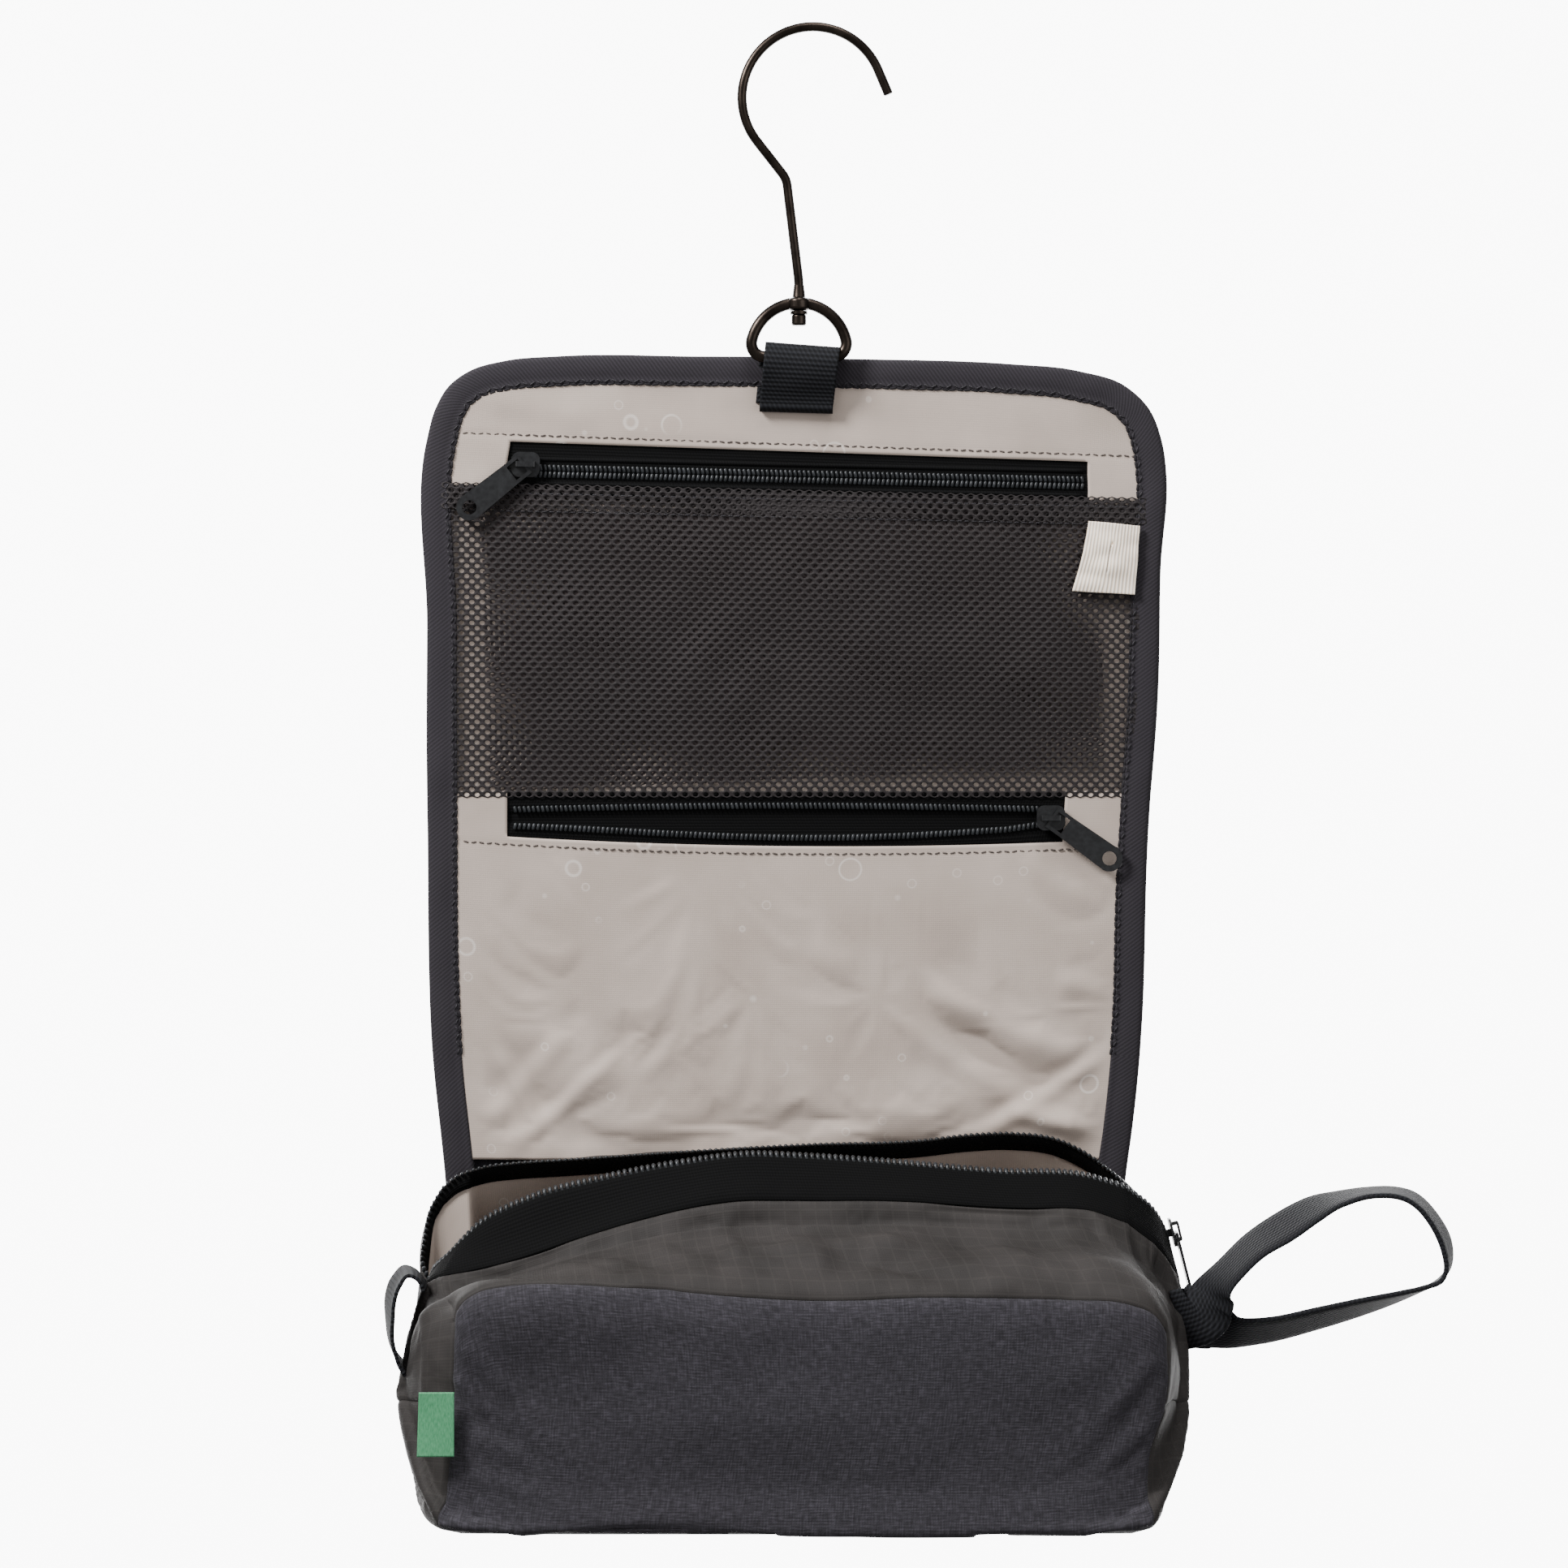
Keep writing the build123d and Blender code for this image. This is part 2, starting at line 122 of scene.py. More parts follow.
def mixColour(tree, factor, a, b, blend="MIX"):
    node = addNode(tree, "ShaderNodeMix", data_type="RGBA", blend_type=blend)
    for socket, value in ((node.inputs[0], factor), (node.inputs[6], a), (node.inputs[7], b)):
        if isinstance(value, bpy.types.NodeSocket):
            tree.links.new(value, socket)
        else:
            socket.default_value = toLinear(value) if isinstance(value, str) else value
    return node.outputs[2]


def bumped(tree, shader, height, depth, strength=1.0):
    bump = addNode(tree, "ShaderNodeBump", {"Height": height, "Distance": depth, "Strength": strength})
    tree.links.new(bump.outputs["Normal"], shader.inputs["Normal"])


def weighted(tree, a, share, b, rest):
    return mathNode(tree, "ADD", mathNode(tree, "MULTIPLY", a, share), mathNode(tree, "MULTIPLY", b, rest))


def crossed(tree, source, period):
    # plain weave: lines both ways
    weft = lines(tree, source, period, math.radians(90))
    return mathNode(tree, "MULTIPLY", lines(tree, source, period), weft)


def coloured(tree, shader, factor, low, high):
    # base colour between two tones, each given as (place, colour)
    tree.links.new(ramp(tree, factor, [low, high]), shader.inputs["Base Color"])


def roughBetween(tree, shader, value, low, high):
    rough = addNode(tree, "ShaderNodeMapRange", {"Value": value, "To Min": low, "To Max": high})
    tree.links.new(rough.outputs[0], shader.inputs["Roughness"])


def clothCoordinates(tree):
    # the piece's own UV map, laid out in metres of cloth
    return addNode(tree, "ShaderNodeUVMap", uv_map="cloth").outputs["UV"]


def objectCoordinates(tree):
    return addNode(tree, "ShaderNodeTexCoord").outputs["Object"]


# ---------- materials ----------
def makeGunmetal():
    # smoked nickel plating, drawn wire: dark, brown in the highlights, with soft streaks
    material, tree, shader = startMaterial("platedSteelWire", Metallic=1.0)
    place = objectCoordinates(tree)
    cloudy = noise(tree, place, 6 * mm, 4.0)
    fine = noise(tree, place, 0.5 * mm, 3.0, (1, 1, 0.2))
    colour = ramp(tree, cloudy, [(0.3, "#241f1c"), (0.7, "#3b342f")])
    tree.links.new(colour, shader.inputs["Base Color"])
    roughBetween(tree, shader, fine, 0.24, 0.42)
    bumped(tree, shader, fine, 0.02 * mm, 0.5)
    return material


def makeZipLacquer():
    # zinc casting under black lacquer: satin black, greyer where the edges have worn
    material, tree, shader = startMaterial("lacqueredZinc", Coat_Weight=0.25, Coat_Roughness=0.3)
    place = objectCoordinates(tree)
    cloudy = noise(tree, place, 1.5 * mm, 4.0)
    coloured(tree, shader, cloudy, (0.35, "#0c0c0e"), (0.75, "#1a1b1d"))
    roughBetween(tree, shader, cloudy, 0.34, 0.5)
    bumped(tree, shader, noise(tree, place, 0.4 * mm), 0.02 * mm, 0.4)
    return material


def makeTwill(name, dark, light):
    # twill tape: fine diagonal ribs with a matte, slightly fuzzy face
    material, tree, shader = startMaterial(name, Roughness=0.85, Sheen_Weight=0.04, Sheen_Roughness=0.5)
    place = clothCoordinates(tree)
    ribs = lines(tree, place, 1.1 * mm, math.radians(38), 0.6)
    yarn = noise(tree, place, 0.5 * mm, 2.0)
    worn = noise(tree, place, 14 * mm, 3.0)
    shade = weighted(tree, ribs, 0.5, yarn, 0.5)
    colour = ramp(tree, shade, [(0.25, dark), (0.8, light)])
    colour = mixColour(tree, mathNode(tree, "MULTIPLY", worn, 0.35), colour, light)
    tree.links.new(colour, shader.inputs["Base Color"])
    bumped(tree, shader, shade, 0.08 * mm, 0.7)
    return material


def makeMelange():
    # melange polyester: two greys spun together, with short slubs across and along
    material, tree, shader = startMaterial(
        "melangePolyester", Roughness=0.9, Sheen_Weight=0.04, Sheen_Roughness=0.5)
    place = clothCoordinates(tree)
    across = noise(tree, place, 0.55 * mm, 2.0, (0.16, 1.0, 1.0))
    along = noise(tree, place, 0.55 * mm, 2.0, (1.0, 0.12, 1.0))
    slub = weighted(tree, across, 0.55, along, 0.45)
    colour = ramp(tree, slub, [(0.34, "#19171b"), (0.5, "#2a282d"), (0.66, "#3d3a41")])
    cloudy = noise(tree, place, 30 * mm, 2.0)
    colour = mixColour(tree, mathNode(tree, "MULTIPLY", cloudy, 0.25), colour, "#2b292e")
    tree.links.new(colour, shader.inputs["Base Color"])
    weave = crossed(tree, place, 0.9 * mm)
    height = mathNode(tree, "ADD", mathNode(tree, "MULTIPLY", weave, 0.4), slub)
    bumped(tree, shader, height, 0.16 * mm, 0.8)
    return material


def makeRipstop():
    # ripstop polyester: thin coated cloth with a soft shine and a raised grid every few millimetres
    material, tree, shader = startMaterial("ripstopPolyester", Specular_IOR_Level=0.12)
    place = clothCoordinates(tree)
    grid = 5.2 * mm
    warp = ramp(tree, lines(tree, place, grid), [(0.93, 0.0), (0.985, 1.0)])
    weft = ramp(tree, lines(tree, place, grid, math.radians(90)), [(0.93, 0.0), (0.985, 1.0)])
    threads = mathNode(tree, "MAXIMUM", warp, weft)
    weave = crossed(tree, place, 0.8 * mm)
    cloudy = noise(tree, place, 22 * mm, 3.0)
    colour = ramp(tree, cloudy, [(0.3, "#282625"), (0.7, "#353231")])
    colour = mixColour(tree, mathNode(tree, "MULTIPLY", threads, 0.05), colour, "#5c5854")
    tree.links.new(colour, shader.inputs["Base Color"])
    roughBetween(tree, shader, cloudy, 0.62, 0.8)
    height = mathNode(tree, "ADD", weave, mathNode(tree, "MULTIPLY", threads, 0.5))
    bumped(tree, shader, height, 0.05 * mm, 0.7)
    return material


def makeTaffeta():
    # polyester taffeta: smooth plain lining with a faint print of small bubbles
    material, tree, shader = startMaterial("printedTaffeta", Sheen_Weight=0.03, Sheen_Roughness=0.4)
    place = clothCoordinates(tree)
    rings = []
    for spacing, scatter, stops in ((24 * mm, 0.9, (0.135, 0.148, 0.16, 0.173)),
                                    (11 * mm, 1.0, (0.10, 0.12, 0.135, 0.16))):
        cells = addNode(tree, "ShaderNodeTexVoronoi",
                        {"Vector": place, "Scale": 1 / spacing, "Randomness": scatter})
        rings.append(ramp(tree, cells.outputs["Distance"],
                          [(0.0, 0.0)] + list(zip(stops, (0.0, 1.0, 1.0, 0.0)))))
    scattered = ramp(tree, noise(tree, place, 42 * mm, 1.0), [(0.42, 0.0), (0.5, 1.0)])
    bubbles = mathNode(tree, "MAXIMUM", rings[0], mathNode(tree, "MULTIPLY", rings[1], 0.7))
    bubbles = mathNode(tree, "MULTIPLY", bubbles, scattered)
    weave = crossed(tree, place, 0.7 * mm)
    cloudy = noise(tree, place, 35 * mm, 3.0)
    colour = ramp(tree, cloudy, [(0.3, "#a3958b"), (0.7, "#b5a79d")])
    colour = mixColour(tree, mathNode(tree, "MULTIPLY", bubbles, 0.55), colour, "#d5cdc6")
    tree.links.new(colour, shader.inputs["Base Color"])
    roughBetween(tree, shader, cloudy, 0.55, 0.7)
    bumped(tree, shader, weave, 0.05 * mm, 0.6)
    return material


def makeMeshYarn(name, dark, light):
    # warp-knitted polyester mesh: soft black yarn that turns brown against the light
    material, tree, shader = startMaterial(name, Roughness=0.7, Sheen_Weight=0.05, Sheen_Roughness=0.4)
    place = clothCoordinates(tree)
    yarn = noise(tree, place, 0.35 * mm, 2.0, (1.0, 2.5, 1.0))
    coloured(tree, shader, yarn, (0.3, dark), (0.7, light))
    bumped(tree, shader, yarn, 0.15 * mm, 0.8)
    return material


def makeWebbing(name, dark, light):
    # polyester webbing: narrow ribs along the strap, crossed by the weft, worn lighter at the edges
    material, tree, shader = startMaterial(name, Roughness=0.8, Specular_IOR_Level=0.15)
    place = clothCoordinates(tree)
    warp = lines(tree, place, 1.5 * mm, math.radians(90), 0.2)
    left = lines(tree, place, 1.3 * mm, math.radians(35), 0.3)
    yarn = noise(tree, place, 0.4 * mm, 2.0)
    height = weighted(tree, warp, 0.55, left, 0.45)
    shade = weighted(tree, height, 0.6, yarn, 0.4)
    coloured(tree, shader, shade, (0.3, dark), (0.85, light))
    bumped(tree, shader, height, 0.3 * mm, 0.9)
    return material


def makeZipTape():
    # woven zip tape: dense black ribs along the zip
    material, tree, shader = startMaterial("wovenZipTape", Roughness=0.85, Specular_IOR_Level=0.1)
    place = clothCoordinates(tree)
    ribs = lines(tree, place, 1.0 * mm, math.radians(90), 0.3)
    cross = lines(tree, place, 0.9 * mm, math.radians(20), 0.5)
    yarn = noise(tree, place, 0.4 * mm, 2.0)
    height = weighted(tree, ribs, 0.6, cross, 0.4)
    shade = weighted(tree, height, 0.5, yarn, 0.5)
    coloured(tree, shader, shade, (0.3, "#030303"), (0.85, "#0b0b0c"))
    bumped(tree, shader, height, 0.15 * mm, 0.8)
    return material


def makeCoilNylon():
    # extruded nylon coil: smooth black, its base colour lifted to dark grey as a painted glint, with a small
    # bright glint on each turn
    material, tree, shader = startMaterial("nylonCoil", Roughness=0.36)
    cloudy = noise(tree, objectCoordinates(tree), 3 * mm, 2.0)
    coloured(tree, shader, cloudy, (0.3, "#17191b"), (0.7, "#2b2d30"))
    return material


def makeGrosgrain():
    # cream grosgrain ribbon: clear round ribs straight across
    material, tree, shader = startMaterial(
        "creamGrosgrain", Roughness=0.8, Sheen_Weight=0.04, Sheen_Roughness=0.5)
    place = clothCoordinates(tree)
    ribs = lines(tree, place, 1.15 * mm, 0.0, 0.15)
    yarn = noise(tree, place, 0.5 * mm, 2.0, (1.0, 0.4, 1.0))
    shade = weighted(tree, ribs, 0.7, yarn, 0.3)
    coloured(tree, shader, shade, (0.15, "#efd9c0"), (0.7, "#fff4e6"))
    bumped(tree, shader, ribs, 0.25 * mm, 0.8)
    return material


def makeLabelSatin():
    # woven satin label, plain green with a soft lengthwise shine
    material, tree, shader = startMaterial(
        "greenSatin", Roughness=0.5, Sheen_Weight=0.04, Sheen_Roughness=0.4)
    place = clothCoordinates(tree)
    yarn = noise(tree, place, 0.4 * mm, 2.0, (1.0, 0.25, 1.0))
    coloured(tree, shader, yarn, (0.3, "#3f7f58"), (0.7, "#56996f"))
    bumped(tree, shader, yarn, 0.06 * mm, 0.6)
    return material


def makeThread(name, colour, light):
    # polyester sewing thread, twisted: each stitch catches a little light
    material, tree, shader = startMaterial(name, Roughness=0.55, Sheen_Weight=0.04, Sheen_Roughness=0.4)
    twist = lines(tree, objectCoordinates(tree), 0.5 * mm, math.radians(45))
    coloured(tree, shader, twist, (0.2, colour), (0.8, light))
    return material


gunmetal = makeGunmetal()
zipLacquer = makeZipLacquer()
twill = makeTwill("twillBinding", "#151216", "#2b272d")
melange = makeMelange()
ripstop = makeRipstop()
taffeta = makeTaffeta()
meshYarn = makeMeshYarn("knittedMesh", "#120e0f", "#262021")
# the inner net is the same black mesh yarn, painted lighter brown for the light seen through the outer net's
# holes
innerYarnPaintedLight = makeMeshYarn("knittedMeshInner", "#2a2323", "#453b3b")
webbing = makeWebbing("blackWebbing", "#0b0b0d", "#232428")
zipTape = makeZipTape()
coilNylon = makeCoilNylon()
grosgrain = makeGrosgrain()
labelSatin = makeLabelSatin()
darkThread = makeThread("darkThread", "#151317", "#2b282d")
greyThread = makeThread("taupeThread", "#3c3532", "#5a514c")
print("materials made")


# ---------- mesh helpers ----------
def makeObject(name, points, faces, material, uv=None, smooth=True):
    mesh = bpy.data.meshes.new(name)
    mesh.from_pydata(points, [], faces)
    if uv is not None:
        layer = mesh.uv_layers.new(name="cloth")
        loopVertex = np.empty(len(mesh.loops), dtype=np.int32)
        mesh.loops.foreach_get("vertex_index", loopVertex)
        layer.data.foreach_set("uv", np.asarray(uv)[loopVertex].ravel())
    mesh.polygons.foreach_set("use_smooth", [smooth] * len(mesh.polygons))
    mesh.materials.append(material)
    mesh.update()
    piece = bpy.data.objects.new(name, mesh)
    bpy.context.scene.collection.objects.link(piece)
    return piece


def gridFaces(rows, columns, closedRows=False, closedColumns=False):
    # quads between neighbouring points of a rows x columns grid, wrapped where it is closed
    i = np.arange(rows if closedRows else rows - 1)[:, None]
    j = np.arange(columns if closedColumns else columns - 1)[None, :]
    nextRow, nextColumn = (i + 1) % rows, (j + 1) % columns
    corners = [i * columns + j, i * columns + nextColumn,
               nextRow * columns + nextColumn, nextRow * columns + j]
    return np.stack(np.broadcast_arrays(*corners), axis=-1).reshape(-1, 4)


def clothUv(points):
    # distance along each row and column of the grid, in metres
    across = np.linalg.norm(np.diff(points, axis=1), axis=2).mean(axis=0)
    down = np.linalg.norm(np.diff(points, axis=0), axis=2).mean(axis=1)
    u = np.concatenate([[0], np.cumsum(across)])
    v = np.concatenate([[0], np.cumsum(down)])
    return np.stack(np.meshgrid(u, v), axis=-1).reshape(-1, 2)


def gridPiece(name, points, material, closedRows=False, closedColumns=False, thickness=0.0, level=0, uv=None):
    # a cloth surface from a grid of points, given its thickness by Solidify on its inner side
    rows, columns = points.shape[:2]
    faces = gridFaces(rows, columns, closedRows, closedColumns)
    uv = clothUv(points) if uv is None else uv
    piece = makeObject(name, points.reshape(-1, 3), faces.tolist(), material, uv)
    if thickness:
        solid = piece.modifiers.new("thickness", "SOLIDIFY")
        solid.thickness = thickness
        solid.offset = -1
    if level:
        smoothing = piece.modifiers.new("smoothing", "SUBSURF")
        smoothing.levels = smoothing.render_levels = level
    return piece


def hermiteSpans(stack, counts):
    # smooth curves through stack[1..-2]: cubic spans whose tangents weigh both neighbours by their distance
    parts = []
    for k, count in enumerate(counts):
        p0, p1, p2, p3 = stack[k], stack[k + 1], stack[k + 2], stack[k + 3]
        span = np.maximum(np.linalg.norm(p2 - p1, axis=-1, keepdims=True), 1e-6)
        before = np.maximum(np.linalg.norm(p1 - p0, axis=-1, keepdims=True), 1e-6)
        after = np.maximum(np.linalg.norm(p3 - p2, axis=-1, keepdims=True), 1e-6)
        m1 = ((p1 - p0) / before * span + (p2 - p1) / span * before) / (before + span) * span
        m2 = ((p2 - p1) / span * after + (p3 - p2) / after * span) / (after + span) * span
        t = np.linspace(0, 1, count, endpoint=False).reshape([-1] + [1] * p1.ndim)
        parts.append((2 * t ** 3 - 3 * t ** 2 + 1) * p1 + (t ** 3 - 2 * t ** 2 + t) * m1
                     + (3 * t ** 2 - 2 * t ** 3) * p2 + (t ** 3 - t ** 2) * m2)
    parts.append(stack[-2][None])
    return np.concatenate(parts)


def curveThrough(points, count, closed=False):
    # a smooth curve through a few points, resampled evenly along its length
    p = np.asarray(points, dtype=float)
    if closed:
        p = np.vstack([p[-1:], p, p[:2]])
    else:
        p = np.vstack([2 * p[0] - p[1], p, 2 * p[-1] - p[-2]])
    line = hermiteSpans(p, [24] * (len(p) - 3))
    length = np.concatenate([[0], np.cumsum(np.linalg.norm(np.diff(line, axis=0), axis=1))])
    at = np.linspace(0, length[-1], count, endpoint=not closed)
    return np.stack([np.interp(at, length, line[:, k]) for k in range(line.shape[1])], axis=1)


def frames(path, closed=False):
    # unit tangents along a path
    if closed:
        tangent = np.roll(path, -1, axis=0) - np.roll(path, 1, axis=0)
    else:
        tangent = np.gradient(path, axis=0)
    return tangent / np.linalg.norm(tangent, axis=1, keepdims=True)


def pointsAt(x, y, z):
    # points in metres from X, Y and Z in mm, any of which may be a single number
    return np.stack(np.broadcast_arrays(x, y, z), axis=-1) * mm


def unit(v):
    return v / np.linalg.norm(v, axis=-1, keepdims=True)


def capsule(sides=6):
    # one small rounded bar along X, from -0.5 to 0.5, with a unit radius across
    x = np.array([-0.5, -0.36, 0.36, 0.5])
    radius = np.array([0.35, 1.0, 1.0, 0.35])
    angle = np.linspace(0, 2 * math.pi, sides, endpoint=False)
    ring = np.stack([np.zeros(sides), np.cos(angle), np.sin(angle)], axis=1)
    points = (ring[None] * radius[:, None, None]) + np.stack([x, 0 * x, 0 * x], axis=1)[:, None]
    caps = np.stack([np.arange(sides)[::-1], np.arange(3 * sides, 4 * sides)])
    return points.reshape(-1, 3), gridFaces(4, sides, closedColumns=True), caps


def manyBars(name, centres, along, outward, length, width, height, material):
    # the same small rounded bar at every centre: along its own X, outward its own Z
    points, quads, caps = capsule()
    along, outward = unit(along), unit(outward)
    side = unit(np.cross(outward, along))
    outward = np.cross(along, side)
    placed = (centres[:, None]
              + points[None, :, 0:1] * length * along[:, None]
              + points[None, :, 1:2] * width / 2 * side[:, None]
              + points[None, :, 2:3] * height / 2 * outward[:, None])
    first = np.arange(len(centres))[:, None, None] * len(points)
    faces = [(first + part).reshape(-1, part.shape[1]).tolist() for part in (quads, caps)]
    return makeObject(name, placed.reshape(-1, 3), faces[0] + faces[1], material)


def stitchRow(name, path, outward, material, pitch=2.6 * mm, share=0.68, width=0.42 * mm, zigzag=0.0):
    # lock stitches along a path: a short bar per stitch, sunk by a third, turned by zigzag
    step = np.linalg.norm(np.diff(path, axis=0), axis=1)
    length = np.concatenate([[0], np.cumsum(step)])
    count = max(2, int(length[-1] / pitch))
    at = (np.arange(count) + 0.5) * length[-1] / count
    centres = np.stack([np.interp(at, length, path[:, k]) for k in range(3)], axis=1)
    tangent = unit(np.stack([np.interp(at, length, frames(path)[:, k]) for k in range(3)], axis=1))
    normal = np.broadcast_to(outward, path.shape)
    normal = unit(np.stack([np.interp(at, length, normal[:, k]) for k in range(3)], axis=1))
    if zigzag:
        turn = zigzag * np.where(np.arange(count) % 2, 1.0, -1.0)[:, None]
        tangent = tangent * np.cos(turn) + np.cross(normal, tangent) * np.sin(turn)
    return manyBars(name, centres + normal * width * 0.15, tangent, normal, pitch * share, width, width,
                    material)


def finishBlended(piece, bodies, slotName, *nodes):
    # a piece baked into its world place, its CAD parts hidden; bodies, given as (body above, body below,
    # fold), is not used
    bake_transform(piece)
    if nodes:
        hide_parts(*nodes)


def finishPiece(piece, body, slotName, *nodes):
    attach(piece, body)
    if nodes:
        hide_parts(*nodes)


# ---------- flap outline ----------
# Outer edge of the flap as (X, Z) in millimetres, from the left foot over the top to the right foot.
flapEdge = np.array([(-122.6, -410), (-124.0, -384), (-124.9, -376), (-127.5, -352), (-129.4, -316),
                     (-129.9, -262), (-130.2, -200), (-130.0, -136.2), (-127.5, -126.6),
                     (-122.8, -118.4), (-115.2, -113.0), (-104.2, -110.0), (-85.1, -108.4),
                     (-38.7, -108.4), (-0.4, -108.9), (32, -109.6), (65.2, -110.8), (89.8, -113.5),
                     (104.8, -118.2), (113.0, -125.8), (117.6, -137.6), (119.0, -148), (117.6, -180),
                     (115.7, -235), (113.8, -262), (112.2, -289), (111.1, -330), (107.5, -371),
                     (105.6, -384), (103.5, -410)])
edgeLine = curveThrough(flapEdge, 900)
edgeTangent = frames(edgeLine)
edgeInward = np.stack([edgeTangent[:, 1], -edgeTangent[:, 0]], axis=1)
cornerLeft = int(np.argmin(np.abs(edgeLine[:450, 1] + 136)))
cornerRight = 450 + int(np.argmin(np.abs(edgeLine[450:, 1] + 148)))


def insetEdge(inset):
    return edgeLine + edgeInward * inset


def sideX(z, inset, right):
    # X of the inset outline on one side at heights z
    line = insetEdge(inset)
    part = line[cornerRight:] if right else line[:cornerLeft][::-1]
    return np.interp(-z, -part[:, 1], part[:, 0])


def topZ(x, inset):
    # height of the inset outline above x
    line = insetEdge(inset)[cornerLeft:cornerRight]
    return np.interp(x, line[:, 0], line[:, 1])


def flapGrid(z, columns, y, inset=5.0):
    # rows at the heights z (rows x columns), columns spread from side to side, kept under the top edge
    share = np.linspace(0, 1, columns)[None, :] if np.isscalar(columns) else columns
    z = np.broadcast_to(z, (z.shape[0], share.shape[1])).astype(float)
    x = sideX(z, inset, False) * (1 - share) + sideX(z, inset, True) * share
    z = np.minimum(z, topZ(x, inset))
    return np.stack([x, np.broadcast_to(y, x.shape), z], axis=-1)


def softNoise(x, z, size, seed, count=26):
    # smooth random relief between about -1 and 1: a sum of sines of random direction and phase
    local = np.random.default_rng(seed)
    angle = local.uniform(0, math.pi, count)
    period = size * local.uniform(0.7, 1.6, count)
    phase = local.uniform(0, 2 * math.pi, count)
    total = np.zeros_like(x)
    for a, p, f in zip(angle, period, phase):
        total += np.sin((x * math.cos(a) + z * math.sin(a)) * 2 * math.pi / p + f)
    return total / math.sqrt(count)


def ridge(x, z, ax, az, bx, bz, width):
    # a soft crease from a to b: 1 on its line, falling to 0 at its width and towards its ends
    dx, dz = bx - ax, bz - az
    length = math.hypot(dx, dz)
    t = ((x - ax) * dx + (z - az) * dz) / length ** 2
    away = np.abs((x - ax) * dz - (z - az) * dx) / length
    fade = np.clip(t * 4, 0, 1) * np.clip((1 - t) * 4, 0, 1) * (t > 0) * (t < 1)
    return np.exp(-(away / width) ** 2) * fade * fade * (3 - 2 * fade)


def addWeights(piece, name, values):
    # a vertex group from one weight per point, added once for each different weight
    group = piece.vertex_groups.new(name=name)
    flat = values.ravel()
    for weight in np.unique(flat):
        group.add(np.flatnonzero(flat == weight).tolist(), float(weight), "REPLACE")


def settleCloth(points, pinned, growth, limit):
    # cloth simulation of a grid in mm: slightly too large for its frame, it buckles into real wrinkles.
    # pinned and growth are one value per point; the movement of each point is held within limit.
    steps, stride, gravity = 24, 2, 0.25
    coarse = points[::stride, ::stride] * mm
    rows, columns = coarse.shape[:2]
    cloth = makeObject("settling", coarse.reshape(-1, 3), gridFaces(rows, columns).tolist(), taffeta)
    largest = float(growth.max())
    addWeights(cloth, "pins", pinned[::stride, ::stride])
    addWeights(cloth, "grow", growth[::stride, ::stride] / largest)
    modifier = cloth.modifiers.new("cloth", "CLOTH")
    settings = modifier.settings
    settings.quality = 7
    settings.mass = 0.15
    settings.tension_stiffness = settings.compression_stiffness = 40
    settings.shear_stiffness = 12
    settings.bending_stiffness = 0.35
    settings.vertex_group_mass = "pins"
    settings.pin_stiffness = 2.0
    settings.vertex_group_shrink = "grow"
    settings.shrink_min = 0.0
    settings.shrink_max = -largest
    settings.effector_weights.gravity = gravity
    modifier.collision_settings.use_collision = False
    modifier.point_cache.frame_end = steps + 1
    scene = bpy.context.scene
    for step in range(1, steps + 1):
        scene.frame_set(step)
    result = cloth.evaluated_get(bpy.context.evaluated_depsgraph_get())
    moved = np.empty(rows * columns * 3)
    result.data.vertices.foreach_get("co", moved)
    shift = moved.reshape(rows, columns, 3) / mm - points[::stride, ::stride]
    bpy.data.objects.remove(cloth)
    scene.frame_set(1)
    size = np.linalg.norm(shift, axis=-1, keepdims=True)
    shift *= np.minimum(1, limit / np.maximum(size, 1e-6))
    # spread the coarse movement over the fine grid, row by row and column by column
    r = np.clip(np.arange(points.shape[0]) / stride, 0, rows - 1)
    c = np.clip(np.arange(points.shape[1]) / stride, 0, columns - 1)
    r0, c0 = np.minimum(r.astype(int), rows - 2), np.minimum(c.astype(int), columns - 2)
    fr, fc = (r - r0)[:, None, None], (c - c0)[None, :, None]
    top = shift[r0][:, c0] * (1 - fc) + shift[r0][:, c0 + 1] * fc
    foot = shift[r0 + 1][:, c0] * (1 - fc) + shift[r0 + 1][:, c0 + 1] * fc
    return points + top * (1 - fr) + foot * fr


# ---------- binding ----------
binding = {
    "width": 10.0,      # visible width of the folded tape, mm
    "frontY": 3.5,      # its front face, mm
    "backY": 8.0,       # its back face, mm
    "waviness": 0.16,   # how much the edge wanders, mm
    "stitchPitch": 2.5,  # mm
}
flapFold = ("flap_upper", "flap_lower", ((0, 0.0035, -0.287), (0, 0.0035, -0.299)))
pouchFold = ("flap_lower", "pouch", ((0, 0.0035, -0.3665), (0, 0.0035, -0.3785)))
tailZ = -345.0


